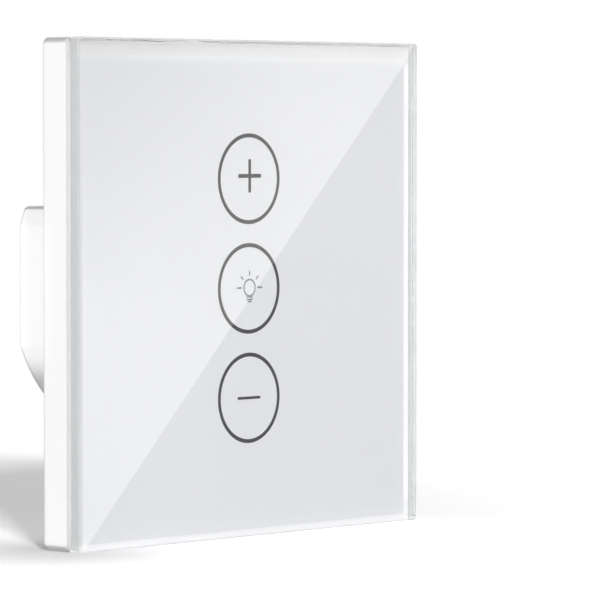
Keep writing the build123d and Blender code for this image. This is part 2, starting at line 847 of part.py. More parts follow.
# Varistor: a coated disc on two wire leads
with BuildPart() as varistor:
    disc_depth = power_board_depth + lead_gap + varistor_radius
    with BuildSketch(Plane.YZ.offset(varistor_x - varistor_thickness / 2)):
        with Locations((disc_depth, varistor_z)):
            Circle(varistor_radius)
    extrude(amount=varistor_thickness)
    chamfer(varistor.edges(), varistor_thickness / 4)
    with BuildSketch(at_depth(disc_depth)):
        with Locations((varistor_x, varistor_z)):
            with GridLocations(0, varistor_radius, 1, 2):
                Rectangle(2 * lead_radius, 2 * lead_radius)
    extrude(amount=disc_depth - power_board_depth)
varistor.part.label = "varistor"
export_step(varistor.part, "parts/varistor.step")

# Filter inductor: a wound drum core
with BuildPart() as filter_inductor:
    with BuildSketch(Plane.YZ.offset(inductor_x)):
        with BuildLine():
            Polyline(
                (power_board_depth, inductor_z),
                (power_board_depth, inductor_z + inductor_radius),
                (power_board_depth + inductor_flange, inductor_z + inductor_radius),
                (power_board_depth + inductor_flange, inductor_z + inductor_waist),
                (
                    power_board_depth + inductor_height - inductor_flange,
                    inductor_z + inductor_waist,
                ),
                (
                    power_board_depth + inductor_height - inductor_flange,
                    inductor_z + inductor_radius,
                ),
                (power_board_depth + inductor_height, inductor_z + inductor_radius),
                (power_board_depth + inductor_height, inductor_z),
                close=True,
            )
        make_face()
    revolve(axis=Axis((inductor_x, 0, inductor_z), (0, 1, 0)))
filter_inductor.part.label = "filter_inductor"
export_step(filter_inductor.part, "parts/filter_inductor.step")

# Bridge rectifier, converter chip and dimming controller: moulded bodies with leads
small_parts = {
    "bridge_rectifier": (bridge_x, bridge_z, bridge_width, bridge_length, bridge_height, 2),
    "converter_chip": (converter_x, converter_z, small_chip_width, small_chip_length, 1.5, 4),
    "dimming_controller": (
        controller_x,
        controller_z,
        small_chip_width,
        small_chip_length,
        1.5,
        4,
    ),
}
for name, (x, z, width, length, height, lead_count) in small_parts.items():
    with BuildPart() as moulded_chip:
        with BuildSketch(at_depth(power_board_depth + height)):
            with Locations((x, z)):
                Rectangle(width, length)
        extrude(amount=height)
        chamfer(moulded_chip.faces().sort_by(Axis.Y)[-1].edges(), height / 8)
        with BuildSketch(at_depth(power_board_depth + height / 2)):
            with Locations((x, z)):
                with GridLocations(width / lead_count, 0, lead_count, 1):
                    Rectangle(chip_lead_width, length + 2 * chip_lead_height)
        extrude(amount=height / 2)
    moulded_chip.part.label = name
    export_step(moulded_chip.part, f"parts/{name}.step")

# Heat sink: a folded aluminium plate
with BuildPart() as heat_sink:
    with BuildSketch(at_depth(power_board_depth + sink_height)):
        with Locations((sink_x, sink_z)):
            Rectangle(sink_width, sink_thickness)
    extrude(amount=sink_height)
    with BuildSketch(at_depth(power_board_depth + sink_height)):
        with Locations((sink_x, sink_z - sink_thickness / 2)):
            Rectangle(
                sink_width,
                sink_thickness + sink_fin,
                align=(Align.CENTER, Align.MIN),
            )
    extrude(amount=sink_thickness)
    with BuildSketch(Plane.XY.offset(sink_z - sink_thickness / 2)):
        with Locations((sink_x, tab_hole_depth)):
            with GridLocations(transistor_pitch, 0, 2, 1):
                Circle(tab_screw_radius + thread_clearance)
    extrude(amount=sink_thickness, mode=Mode.SUBTRACT)
heat_sink.part.label = "heat_sink"
export_step(heat_sink.part, "parts/heat_sink.step")

# Pads between the transistors' tabs and the heat sink
with BuildPart() as thermal_pads:
    with BuildSketch(Plane.XY.offset(tab_face_z)):
        with Locations((sink_x, body_depth + transistor_tab_height)):
            with GridLocations(transistor_pitch, 0, 2, 1):
                Rectangle(
                    transistor_width,
                    transistor_body_height + transistor_tab_height,
                    align=(Align.CENTER, Align.MAX),
                )
        with Locations((sink_x, tab_hole_depth)):
            with GridLocations(transistor_pitch, 0, 2, 1):
                Circle(tab_screw_radius + hole_clearance, mode=Mode.SUBTRACT)
    extrude(amount=pad_sheet_thickness)
thermal_pads.part.label = "thermal_pads"
export_step(thermal_pads.part, "parts/thermal_pads.step")

# Two dimming transistors: body, tab and three leads down to the board
with BuildPart() as dimming_transistors:
    with BuildSketch(Plane.XY.offset(tab_face_z - transistor_thickness)):
        with Locations((sink_x, body_depth)):
            with GridLocations(transistor_pitch, 0, 2, 1):
                Rectangle(
                    transistor_width,
                    transistor_body_height,
                    align=(Align.CENTER, Align.MAX),
                )
    extrude(amount=transistor_thickness)
    chamfer(
        dimming_transistors.faces().group_by(Axis.Z)[0].edges(),
        transistor_tab_thickness / 3,
    )
    with BuildSketch(Plane.XY.offset(tab_face_z - transistor_tab_thickness)):
        with Locations((sink_x, body_depth)):
            with GridLocations(transistor_pitch, 0, 2, 1):
                Rectangle(
                    transistor_width,
                    transistor_tab_height,
                    align=(Align.CENTER, Align.MIN),
                )
        with Locations((sink_x, tab_hole_depth)):
            with GridLocations(transistor_pitch, 0, 2, 1):
                Circle(tab_screw_radius + hole_clearance, mode=Mode.SUBTRACT)
    extrude(amount=transistor_tab_thickness)
    with BuildSketch(at_depth(power_board_depth + transistor_lead_length)):
        with Locations((sink_x, tab_face_z - transistor_thickness / 2)):
            with GridLocations(transistor_pitch, 0, 2, 1):
                with GridLocations(transistor_lead_pitch, 0, 3, 1):
                    Rectangle(2 * lead_radius, lead_radius)
    extrude(amount=transistor_lead_length)
dimming_transistors.part.label = "dimming_transistors"
export_step(dimming_transistors.part, "parts/dimming_transistors.step")

# Screws that hold the tabs to the heat sink
with BuildPart() as tab_screws:
    head_z = tab_face_z - transistor_tab_thickness - tab_screw_head_height
    with BuildSketch(Plane.XY.offset(head_z)):
        with Locations((sink_x, tab_hole_depth)):
            with GridLocations(transistor_pitch, 0, 2, 1):
                Circle(tab_screw_head_radius)
    extrude(amount=tab_screw_head_height)
    with BuildSketch(Plane.XY.offset(tab_face_z - transistor_tab_thickness)):
        with Locations((sink_x, tab_hole_depth)):
            with GridLocations(transistor_pitch, 0, 2, 1):
                Circle(tab_screw_radius)
    extrude(amount=transistor_tab_thickness + pad_sheet_thickness + sink_thickness)
tab_screws.part.label = "tab_screws"
export_step(tab_screws.part, "parts/tab_screws.step")

# Rising-clamp terminals, one set of four pieces for each wire. The screw turns in place
# and its tip bears on the bar, so the clamp climbs the screw and grips the wire.
for index, pole in enumerate(poles):
    pole_x = pole_pitch * (index - (len(poles) - 1) / 2)

    with BuildPart() as terminal_housing:
        with BuildSketch(at_depth(ledge_depth)):
            with Locations((pole_x, block_bottom)):
                Rectangle(
                    pole_pitch,
                    block_top - block_bottom,
                    align=(Align.CENTER, Align.MIN),
                )
        extrude(amount=ledge_depth - power_board_depth)
        chamfer(
            terminal_housing.edges().filter_by(Axis.X).group_by(Axis.Y)[-1],
            wire_mouth,
        )
        with BuildSketch(at_depth(chamber_depth)):
            with Locations((pole_x, clamp_z)):
                Rectangle(chamber_width, chamber_high - chamber_low)
        extrude(amount=chamber_depth - power_board_depth, mode=Mode.SUBTRACT)
        with BuildSketch(at_depth(bar_depth + bar_thickness + bar_clearance)):
            with Locations((pole_x, bar_low - bar_clearance)):
                Rectangle(
                    bar_width + 2 * bar_clearance,
                    chamber_low - bar_low + 2 * bar_clearance,
                    align=(Align.CENTER, Align.MIN),
                )
        extrude(
            amount=bar_depth + bar_thickness + bar_clearance - power_board_depth,
            mode=Mode.SUBTRACT,
        )
        with BuildSketch(at_depth(ledge_depth)):
            with Locations((pole_x, clamp_z)):
                Circle(terminal_bore_radius)
        extrude(amount=ledge_depth - chamber_depth, mode=Mode.SUBTRACT)
        with BuildSketch(Plane.XY.offset(chamber_high)):
            with Locations((pole_x, wire_depth)):
                Circle(wire_radius)
        extrude(amount=block_outer_wall, mode=Mode.SUBTRACT)
        mouth = (
            terminal_housing.edges()
            .filter_by(GeomType.CIRCLE)
            .filter_by_position(Axis.Z, block_top - 0.01, block_top + 0.01)
        )
        chamfer(mouth, wire_mouth)
    terminal_housing.part.label = f"terminal_housing_{pole}"
    export_step(terminal_housing.part, f"parts/terminal_housing_{pole}.step")

    with BuildPart() as terminal_bar:
        with BuildSketch(at_depth(bar_depth + bar_thickness)):
            with Locations((pole_x, bar_low)):
                Rectangle(bar_width, bar_high - bar_low, align=(Align.CENTER, Align.MIN))
        extrude(amount=bar_thickness)
        with BuildSketch(at_depth(bar_depth)):
            with Locations((pole_x, bar_low)):
                Rectangle(bar_leg_width, bar_thickness, align=(Align.CENTER, Align.MIN))
        extrude(amount=bar_depth - power_board_front + bar_leg_reach)
        heel = (
            terminal_bar.edges()
            .filter_by(Axis.X)
            .filter_by_position(Axis.Z, bar_low - 0.01, bar_low + 0.01)
            .sort_by(Axis.Y)[-1]
        )
        fillet(heel, bar_thickness / 2)
    terminal_bar.part.label = f"terminal_bar_{pole}"
    export_step(terminal_bar.part, f"parts/terminal_bar_{pole}.step")

    clamp_height = clamp_floor + wire_opening + bar_thickness + bar_clearance + clamp_roof
    clamp_back = clamp_back_floor + clamp_height
    with BuildPart() as terminal_clamp:
        with BuildSketch(Plane.XY.offset(clamp_z - clamp_length / 2)):
            with Locations((pole_x, clamp_back_floor + clamp_height / 2)):
                Rectangle(clamp_width, clamp_height)
            with Locations((pole_x, clamp_back_floor + clamp_floor)):
                Rectangle(
                    clamp_width - 2 * clamp_wall,
                    clamp_height - clamp_floor - clamp_roof,
                    align=(Align.CENTER, Align.MIN),
                    mode=Mode.SUBTRACT,
                )
        extrude(amount=clamp_length)
        with BuildSketch(at_depth(clamp_back)):
            with Locations((pole_x, clamp_z)):
                Circle(terminal_screw_radius + terminal_thread_clearance)
        extrude(amount=clamp_roof, mode=Mode.SUBTRACT)
    terminal_clamp.part.label = f"terminal_clamp_{pole}"
    export_step(terminal_clamp.part, f"parts/terminal_clamp_{pole}.step")

    tip_depth = bar_depth + bar_thickness + screw_tip_gap
    head_back = chamber_depth + screw_tip_gap + terminal_head_height
    with BuildPart() as terminal_screw:
        with BuildSketch(at_depth(head_back)):
            with Locations((pole_x, clamp_z)):
                Circle(terminal_head_radius)
        extrude(amount=terminal_head_height)
        with BuildSketch(at_depth(head_back - terminal_head_height)):
            with Locations((pole_x, clamp_z)):
                Circle(terminal_screw_radius)
        extrude(amount=head_back - terminal_head_height - tip_depth)
        with BuildSketch(at_depth(head_back)):
            with Locations((pole_x, clamp_z)):
                Rectangle(2 * terminal_head_radius, terminal_slot_width)
        extrude(amount=terminal_slot_depth, mode=Mode.SUBTRACT)
    terminal_screw.part.label = f"terminal_screw_{pole}"
    export_step(terminal_screw.part, f"parts/terminal_screw_{pole}.step")
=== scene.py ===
"""Looks of a smart touch dimmer switch.

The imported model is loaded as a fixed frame. Each of its nodes gets a procedural finish,
the fine pieces are modelled on it with Blender's own tools, and a plain studio is set up
with the camera at the photograph's angle. Sizes are in millimetres unless metres are named,
in the model's frame: +X right and +Z up for someone who faces the switch, whose glass
faces -Y. A height is a distance in front of the wall, and a depth one behind it.
"""

from __future__ import annotations

import json
import logging
import math
from collections.abc import Callable, Sequence
from dataclasses import dataclass
from enum import Enum
from typing import Self

import bmesh
import bpy
from mathutils import Matrix, Vector

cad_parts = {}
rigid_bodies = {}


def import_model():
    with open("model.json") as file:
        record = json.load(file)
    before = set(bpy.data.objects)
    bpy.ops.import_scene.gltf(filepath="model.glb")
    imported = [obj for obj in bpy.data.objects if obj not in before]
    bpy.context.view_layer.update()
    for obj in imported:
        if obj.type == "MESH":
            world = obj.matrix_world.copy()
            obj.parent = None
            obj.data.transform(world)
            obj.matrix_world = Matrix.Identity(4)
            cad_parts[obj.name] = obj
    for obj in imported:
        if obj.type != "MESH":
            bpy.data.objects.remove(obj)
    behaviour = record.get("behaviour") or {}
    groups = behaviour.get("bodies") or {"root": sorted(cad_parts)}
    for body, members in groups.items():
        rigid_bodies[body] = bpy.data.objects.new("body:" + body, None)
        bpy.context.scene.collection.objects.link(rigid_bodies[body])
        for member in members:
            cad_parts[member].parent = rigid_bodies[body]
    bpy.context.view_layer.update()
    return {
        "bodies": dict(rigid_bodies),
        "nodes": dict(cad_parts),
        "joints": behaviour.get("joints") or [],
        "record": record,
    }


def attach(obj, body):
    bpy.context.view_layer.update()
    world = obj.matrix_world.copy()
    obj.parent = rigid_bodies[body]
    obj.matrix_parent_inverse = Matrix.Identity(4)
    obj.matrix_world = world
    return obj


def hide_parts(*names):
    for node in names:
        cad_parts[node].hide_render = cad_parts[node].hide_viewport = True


log = logging.getLogger("switch")

MM = 0.001
ALONG = 0.9  # share of a unit vector from which it counts as along an axis
HAIR = 0.001  # margin in millimetres when places are compared
KEY_PITCH = 19.03
WHITE = (1.0, 1.0, 1.0, 1.0)
Point = Sequence[float]
Pair = tuple[float, float]
Place = tuple[float, float, float]
Rgb = tuple[float, float, float]


class Axis(Enum):
    """An axis about which a mesh is turned."""

    X = "X"
    Y = "Y"
    Z = "Z"


def operator(operation: str, reflected: bool = False) -> Callable[[Wire, Value], Wire]:
    """An operator of wires that adds one Math node."""
    return lambda wire, other: wire.math(operation, other, reflected)


class Wire:
    """An output socket whose values take part in Python arithmetic."""

    def __init__(self, bench: Bench, socket: bpy.types.NodeSocket) -> None:
        """Keeps the socket and its bench."""
        self.bench, self.socket = bench, socket

    def math(self, operation: str, other: Value = 0.0, reflected: bool = False) -> Wire:
        """Adds one Math node; the other value comes first if it is reflected."""
        pair = (other, self) if reflected else (self, other)
        return self.bench.node("ShaderNodeMath", {"operation": operation}, dict(enumerate(pair)))

    __add__, __radd__ = operator("ADD"), operator("ADD", True)
    __sub__, __rsub__ = operator("SUBTRACT"), operator("SUBTRACT", True)
    __mul__, __rmul__ = operator("MULTIPLY"), operator("MULTIPLY", True)
    __truediv__, __rtruediv__ = operator("DIVIDE"), operator("DIVIDE", True)
    __gt__, __lt__ = operator("GREATER_THAN"), operator("LESS_THAN")

    def __abs__(self) -> Wire:
        """Size without sign."""
        return self.math("ABSOLUTE")

    def ease(self, low: float, high: float) -> Wire:
        """A soft step from 0 at a low value to 1 at a high one."""
        settings = {"interpolation_type": "SMOOTHSTEP"}
        return self.bench.node("ShaderNodeMapRange", settings, {0: self, 1: low, 2: high})


Value = float | Wire


class Bench:
    """The node tree of a material or of the world."""

    def __init__(self, name: str, world: bool = False) -> None:
        """Makes a material or a world, and reads the place or the direction.

        Args:
            name: Its name.
            world: True for a world.
        """
        self.owner = (bpy.data.worlds if world else bpy.data.materials).new(name)
        self.owner.use_nodes = True
        self.tree = self.owner.node_tree
        self.tree.nodes.clear()
        self.end = self.tree.nodes.new(f"ShaderNodeOutput{'World' if world else 'Material'}")
        self.place = self.node("ShaderNodeTexCoord", out="Generated" if world else "Object")
        self.x, self.y, self.z = self.split(self.place)

    def node(self, kind: str, settings: dict | None = None, inputs: dict | None = None,
             out: int | str = 0) -> Wire:
        """Adds a node.

        Args:
            kind: The node's type.
            settings: Its own settings, by name.
            inputs: Values or wires for its sockets, by name or number.
            out: The output that is returned.

        Returns:
            The chosen output.
        """
        made = self.tree.nodes.new(kind)
        for name, value in (settings or {}).items():
            setattr(made, name, value)
        for name, value in (inputs or {}).items():
            if isinstance(value, Wire):
                self.tree.links.new(value.socket, made.inputs[name])
            else:
                made.inputs[name].default_value = value
        return Wire(self, made.outputs[out])

    def split(self, vector: Wire) -> list[Wire]:
        """The X, Y and Z of a vector."""
        outputs = self.node("ShaderNodeSeparateXYZ", inputs={0: vector}).socket.node.outputs
        return [Wire(self, socket) for socket in outputs]

    def bevelled(self, radius: float) -> Wire:
        """The normal of a surface whose edges are rounded by a radius in millimetres."""
        return self.node("ShaderNodeBevel", {"samples": 8}, {"Radius": radius * MM})

    def noise(self, size: float, detail: float = 2.0, stretch: Point = (1, 1, 1)) -> Wire:
        """Clouds or grain from 0 to 1.

        Args:
            size: Millimetres across one spot.
            detail: How much finer noise is added.
            stretch: Factors by which the spots are longer along X, Y and Z.

        Returns:
            The noise value.
        """
        squeeze = tuple(1.0 / s for s in stretch)
        moved = self.node("ShaderNodeMapping", inputs={"Vector": self.place, "Scale": squeeze})
        inputs = {"Vector": moved, "Scale": 1.0 / (size * MM), "Detail": detail}
        return self.node("ShaderNodeTexNoise", inputs=inputs)

    def cells(self, size: float, output: str, **settings: str) -> Wire:
        """A Voronoi node's output, with cells that are so many millimetres across."""
        inputs = {"Vector": self.place, "Scale": 1.0 / (size * MM)}
        return self.node("ShaderNodeTexVoronoi", settings, inputs, output)

    def distance(self, point: Point) -> Wire:
        """Distance of the surface from a point, in metres."""
        inputs = {0: self.place, 1: point}
        return self.node("ShaderNodeVectorMath", {"operation": "DISTANCE"}, inputs, 1)

    def mix(self, share: Value, first: Rgb | Wire, second: Rgb | Wire) -> Wire:
        """Blends two colours by a share from 0 to 1."""
        pair = [c if isinstance(c, Wire) else (*c, 1.0) for c in (first, second)]
        inputs = {0: share, 6: pair[0], 7: pair[1]}
        return self.node("ShaderNodeMix", {"data_type": "RGBA"}, inputs, 2)

    def blend(self, share: Wire, first: Wire, second: Wire) -> Wire:
        """Blends two shaders by a share from 0 to 1."""
        return self.node("ShaderNodeMixShader", inputs={0: share, 1: first, 2: second})

    def glow(self, color: Point | Wire, strength: float = 1.0) -> Wire:
        """A surface that shines by itself."""
        return self.node("ShaderNodeEmission", inputs={"Color": color, "Strength": strength})

    def matte(self, color: Point | Wire) -> Wire:
        """A plain matte surface."""
        return self.node("ShaderNodeBsdfDiffuse", inputs={"Color": color})

    def close(self, shader: Wire) -> bpy.types.Material | bpy.types.World:
        """Links the finished shader to the output, and returns the material or world."""
        self.tree.links.new(shader.socket, self.end.inputs["Surface"])
        return self.owner


@dataclass(frozen=True)
class Finish:
    """A moulded surface: a colour that drifts a little, with fine grain."""

    name: str
    color: Rgb
    roughness: float = 0.5
    metallic: float = 0.0
    coat: float = 0.0
    drift: float = 0.04  # share by which the colour wanders
    drift_size: float = 14.0  # across one wander
    grain_size: float = 0.25  # across one grain
    relief: float = 0.006  # height of the grain
    scuff: float = 0.06  # spread of the roughness
    rounding: float = 0.0  # radius by which edges look rounded

    def paint(self, bench: Bench) -> Wire:
        """Colour over the surface."""
        low = tuple(c * (1 - self.drift) for c in self.color)
        high = tuple(min(1.0, c * (1 + self.drift / 2)) for c in self.color)
        return bench.mix(bench.noise(self.drift_size), low, high)

    def height(self, bench: Bench) -> Wire:
        """Height of the grain, from 0 to 1."""
        return bench.noise(self.grain_size)

    def gloss(self, bench: Bench) -> Value:
        """Roughness over the surface."""
        return self.roughness + self.scuff * (bench.noise(self.drift_size / 4, 4.0) - 0.5)

    def metal(self, bench: Bench) -> Value:
        """Metallic share over the surface."""
        return self.metallic

    def build(self) -> bpy.types.Material:
        """Builds the material.

        Returns:
            The finished material.
        """
        bench = Bench(self.name)
        inputs = {"Height": self.height(bench), "Distance": self.relief * MM, "Strength": 0.6}
        if self.rounding:
            inputs["Normal"] = bench.bevelled(self.rounding)
        bump = bench.node("ShaderNodeBump", inputs=inputs)
        inputs = {
            "Base Color": self.paint(bench),
            "Roughness": self.gloss(bench),
            "Metallic": self.metal(bench),
            "Coat Weight": self.coat,
            "Normal": bump,
        }
        return bench.close(bench.node("ShaderNodeBsdfPrincipled", inputs=inputs))


@dataclass(frozen=True)
class WhiteMoulding(Finish):
    """White moulded plastic with painted shade on its rounded edges, most on those that face up, down
    or to the wall.
    """

    shade: float = 0.37  # share of the colour that is left on an edge under its painted shade
    onset: float = 0.0  # slant from which the surface counts as an edge
    spread: float = 0.13  # further slant at which it is an edge in full
    level: float = 0.58  # share of the painted shade on an edge that faces up or down
    rear: float = 0.9  # share of it on an edge that faces the wall

    def paint(self, bench: Bench) -> Wire:
        """Plain colour with painted shade where the rounded surface faces along no axis."""
        x, y, z = bench.split(bench.bevelled(self.rounding))
        slant = 1.0 - abs(x).math("MAXIMUM", abs(y)).math("MAXIMUM", abs(z))
        # painted shade: the colour is darkened on rounded edges, more on those facing up, down or to
        # the wall
        painted_shade = tuple(c * self.shade for c in self.color)
        facing = self.level * abs(z) + self.rear * y.ease(-0.5, 0.6)
        share = slant.ease(self.onset, self.onset + self.spread) * facing
        return bench.mix(share, super().paint(bench), painted_shade)


@dataclass(frozen=True)
class PrintWithPaintedEdgeLight(Finish):
    """Print with painted light towards the top edge, and towards the lower one if it has a foot."""

    edge: Rgb = (1.0, 1.0, 1.0)  # colour at the top edge, which is painted light
    low: float = 38.4  # height from which the tone changes
    high: float = 40.2  # height at which it has changed
    foot: Rgb | None = None  # colour at the lower edge, which is painted light, if it changes there too

    def paint(self, bench: Bench) -> Wire:
        """Plain colour that turns to the painted light at the edges."""
        color = bench.mix(bench.z.ease(self.low * MM, self.high * MM), super().paint(bench), self.edge)
        if self.foot:
            depth = (0.0 - bench.z).ease(self.low * MM, self.high * MM)
            color = bench.mix(depth, color, self.foot)
        return color


@dataclass(frozen=True)
class ClearGlass(Finish):
    """Polished float glass with ground sides."""

    half: float = 43.0  # half the glass's width
    front: float = 9.1  # height of its front face
    back: float = 5.62  # height of its rear face
    bevel: float = 0.31  # width of the bevel round the front
    arris: float = 0.65  # width of the arris round the back
    corner: float = 0.6
    strip: float = 0.45  # width of the clearer strips along a side
    sand: float = 0.72  # share of a side that is ground
    sand_arris: float = 0.85  # the same for the rear arris at the left and right
    polish_top: float = 0.4  # how much less the upper arris is ground
    polish_foot: float = 0.7  # how much less the lower arris is ground
    frost: Rgb = (0.53, 0.538, 0.54)  # colour of ground glass
    deep: Rgb = (0.66, 0.672, 0.672)  # colour through a side
    clearer: Rgb = (0.88, 0.89, 0.89)  # colour through a side's strips
    rim_color: Rgb = (0.88, 0.885, 0.88)  # colour through the bevel

    def rim(self, bench: Bench, width: float = 0.02) -> Wire:
        """1 outside a square that lies this width inside the sides."""
        reach = abs(bench.x).math("MAXIMUM", abs(bench.z))
        return reach.ease((self.half - width - 0.03) * MM, (self.half - width) * MM)

    def behind(self, bench: Bench, height: float) -> Wire:
        """1 where the glass is nearer to the wall than a height."""
        return 1.0 - (0.0 - bench.y).ease((height - 0.06) * MM, height * MM)

    def lip(self, bench: Bench) -> Wire:
        """1 on the strips of a side next to the frame and next to the bevel."""
        bare = self.behind(bench, self.front - self.bevel - self.strip)
        return 1.0 - bare + self.behind(bench, self.back + self.arris + self.strip - 0.05)

    def ground(self, bench: Bench) -> Wire:
        """Share of the surface that is ground: most on the sides and their rear arris."""
        side = self.rim(bench) * (1.0 - 0.8 * self.lip(bench))
        end = (self.half - self.arris - 0.05) * MM
        upper, lower = bench.z > end, bench.z < -end
        arris = self.sand_arris - self.polish_top * upper - self.polish_foot * lower
        rear = self.behind(bench, self.back + self.arris) * self.rim(bench, self.arris)
        return self.sand * side + arris * rear * (1.0 - side)

    def paint(self, bench: Bench) -> Wire:
        """Clear glass that is darker through its bevels and darkest through its sides."""
        bevel = bench.mix(self.rim(bench, self.bevel), super().paint(bench), self.rim_color)
        side = bench.mix(self.lip(bench), self.deep, self.clearer)
        return bench.mix(self.rim(bench), bevel, side)

    def build(self) -> bpy.types.Material:
        """Builds clear glass with ground sides, which lets lamps through.

        Returns:
            The finished material.
        """
        bench = Bench(self.name)
        inputs = {"Base Color": self.paint(bench), "Roughness": 0.0, "Transmission Weight": 1.0,
                  "IOR": 1.5}
        clear = bench.node("ShaderNodeBsdfPrincipled", inputs=inputs)
        glass = bench.blend(self.ground(bench), clear, bench.matte((*self.frost, 1.0)))
        through = bench.node("ShaderNodeBsdfTransparent", inputs={"Color": (*self.color, 1.0)})
        shade = bench.node("ShaderNodeLightPath", out="Is Shadow Ray")
        return bench.close(bench.blend(shade, glass, through))


@dataclass(frozen=True)
class RolledSheet(Finish):
    """Sheet metal with rolling lines along one axis and faint zinc flowers."""

    grain: Place = (60.0, 1.0, 1.0)  # stretch of the rolling lines along X, Y and Z
    flower: float = 0.08  # share by which the zinc flowers differ

    def paint(self, bench: Bench) -> Wire:
        """Colour that differs from flower to flower."""
        flowers = bench.cells(5.0, "Color")
        tone = bench.node("ShaderNodeSeparateColor", inputs={0: flowers})
        low = tuple(c * (1 - self.flower) for c in self.color)
        return bench.mix(tone * 0.7 + bench.noise(2.0) * 0.3, low, self.color)

    def height(self, bench: Bench) -> Wire:
        """Fine lines along the rolling direction."""
        return bench.noise(0.12, 3.0, self.grain)

    def gloss(self, bench: Bench) -> Value:
        """Roughness that follows the rolling lines."""
        return self.roughness + self.scuff * (bench.noise(0.3, 3.0, self.grain) - 0.5) * 2.0


@dataclass(frozen=True)
class SolderMask(Finish):
    """Circuit board: mask over copper tracks, with tinned vias."""

    track: Rgb = (0.11, 0.42, 0.2)
    via: Rgb = (0.78, 0.7, 0.5)
    pitch: float = 0.9  # from track to track
    share: float = 0.36  # share of the pitch that a track takes

    def tracks(self, bench: Bench) -> Wire:
        """1 on a track, with the direction of the tracks changing from field to field."""
        fields = bench.cells(6.0, "Color", distance="MANHATTAN")
        turn = bench.node("ShaderNodeSeparateColor", inputs={0: fields}) > 0.5
        across = (bench.x / (self.pitch * MM)).math("FRACT") < self.share
        along = (bench.z / (self.pitch * MM)).math("FRACT") < self.share
        return across * turn + along * (1.0 - turn)

    def vias(self, bench: Bench) -> Wire:
        """1 on a via."""
        return bench.cells(2.6, "Distance") < 0.1

    def paint(self, bench: Bench) -> Wire:
        """Mask, tracks and vias."""
        board = bench.mix(self.tracks(bench) * 0.8, self.color, self.track)
        return bench.mix(self.vias(bench), board, self.via)

    def height(self, bench: Bench) -> Wire:
        """Tracks stand a little proud."""
        return self.tracks(bench)

    def metal(self, bench: Bench) -> Value:
        """Vias are metal."""
        return self.vias(bench)


@dataclass(frozen=True)
class Striped(Finish):
    """A surface with bands along Y, such as a winding or a taped coil."""

    band: Rgb = (0.3, 0.2, 0.1)
    pitch: float = 0.4  # from band to band
    share: float = 0.3  # share of the pitch that a band takes

    def bands(self, bench: Bench) -> Wire:
        """1 on a band."""
        return (bench.y / (self.pitch * MM)).math("FRACT") < self.share

    def paint(self, bench: Bench) -> Wire:
        """Base colour with its bands."""
        return bench.mix(self.bands(bench), super().paint(bench), self.band)

    def height(self, bench: Bench) -> Wire:
        """Bands lie a little lower."""
        return 1.0 - self.bands(bench)


@dataclass(frozen=True)
class LampResin(Finish):
    """A small lamp: yellowish resin in front of its white body."""

    body: Rgb = (0.86, 0.86, 0.84)
    parting: float = 4.45  # height where resin meets body

    def paint(self, bench: Bench) -> Wire:
        """Resin in front and body behind."""
        front = (0.0 - bench.y).ease((self.parting - 0.05) * MM, self.parting * MM)
        return bench.mix(front, self.body, super().paint(bench))


PANEL_GLASS = ClearGlass("clear_glass", (0.985, 0.993, 0.99), 0.0, drift=0.005)
FINISHES: dict[str, Finish] = {"panel_glass": PANEL_GLASS} | {finish.name: finish for finish in (
    # the frame and the housing carry painted shade on their rounded edges
    WhiteMoulding("frame_plastic", (0.85, 0.85, 0.85), 0.32, coat=0.15, drift=0.012,
        grain_size=0.4, relief=0.0015, rounding=0.8),
    Finish("tape_foam", (0.82, 0.82, 0.8), 0.9, grain_size=0.12, relief=0.02),
    RolledSheet("plate_steel", (0.72, 0.73, 0.74), 0.34, 1.0),
    WhiteMoulding("housing_plastic", (0.9, 0.9, 0.895), 0.55, drift=0.015, grain_size=0.22,
        relief=0.006, rounding=1.1, onset=0.09),
    RolledSheet("screw_steel", (0.68, 0.68, 0.69), 0.3, 1.0, grain=(1.0, 1.0, 1.0)),
    SolderMask("board_laminate", (0.05, 0.25, 0.12), 0.32, coat=0.4, relief=0.02),
    Finish("shroud_plastic", (0.87, 0.87, 0.85), 0.6),
    RolledSheet("spring_metal", (0.8, 0.74, 0.58), 0.25, 1.0),
    LampResin("lamp_resin", (0.85, 0.75, 0.3), 0.25, relief=0.002),
    Finish("chip_moulding", (0.035, 0.035, 0.04), 0.6, relief=0.01),
    RolledSheet("shield_tin", (0.75, 0.76, 0.77), 0.28, 1.0, flower=0.03),
    Finish("black_plastic", (0.025, 0.025, 0.028), 0.5),
    RolledSheet("contact_brass", (0.79, 0.65, 0.33), 0.28, 1.0, grain=(1.0, 1.0, 40.0),
        flower=0.04),
    Finish("ferrite", (0.07, 0.07, 0.075), 0.7, relief=0.03, grain_size=0.15),
    Striped("coil_tape", (0.82, 0.66, 0.12), 0.35, band=(0.66, 0.5, 0.08), pitch=2.2, share=0.06),
    Finish("can_sleeve", (0.05, 0.07, 0.13), 0.35, coat=0.3, relief=0.003),
    Finish("film_case", (0.8, 0.58, 0.08), 0.35, relief=0.004),
    Finish("fuse_case", (0.08, 0.05, 0.04), 0.35, relief=0.004),
    Finish("varistor_coat", (0.05, 0.17, 0.5), 0.4, coat=0.3, relief=0.03, grain_size=0.6),
    Striped("inductor_sleeve", (0.55, 0.2, 0.08), 0.35, 0.6, band=(0.25, 0.09, 0.04), pitch=0.4),
    RolledSheet("sink_aluminium", (0.8, 0.81, 0.82), 0.35, 1.0, grain=(1.0, 60.0, 1.0),
        flower=0.02),
    Finish("pad_silicone", (0.52, 0.54, 0.56), 0.8, relief=0.01),
    Finish("terminal_plastic", (0.07, 0.075, 0.08), 0.5, relief=0.008),
    RolledSheet("clamp_steel", (0.7, 0.7, 0.7), 0.3, 1.0, flower=0.03),
)}

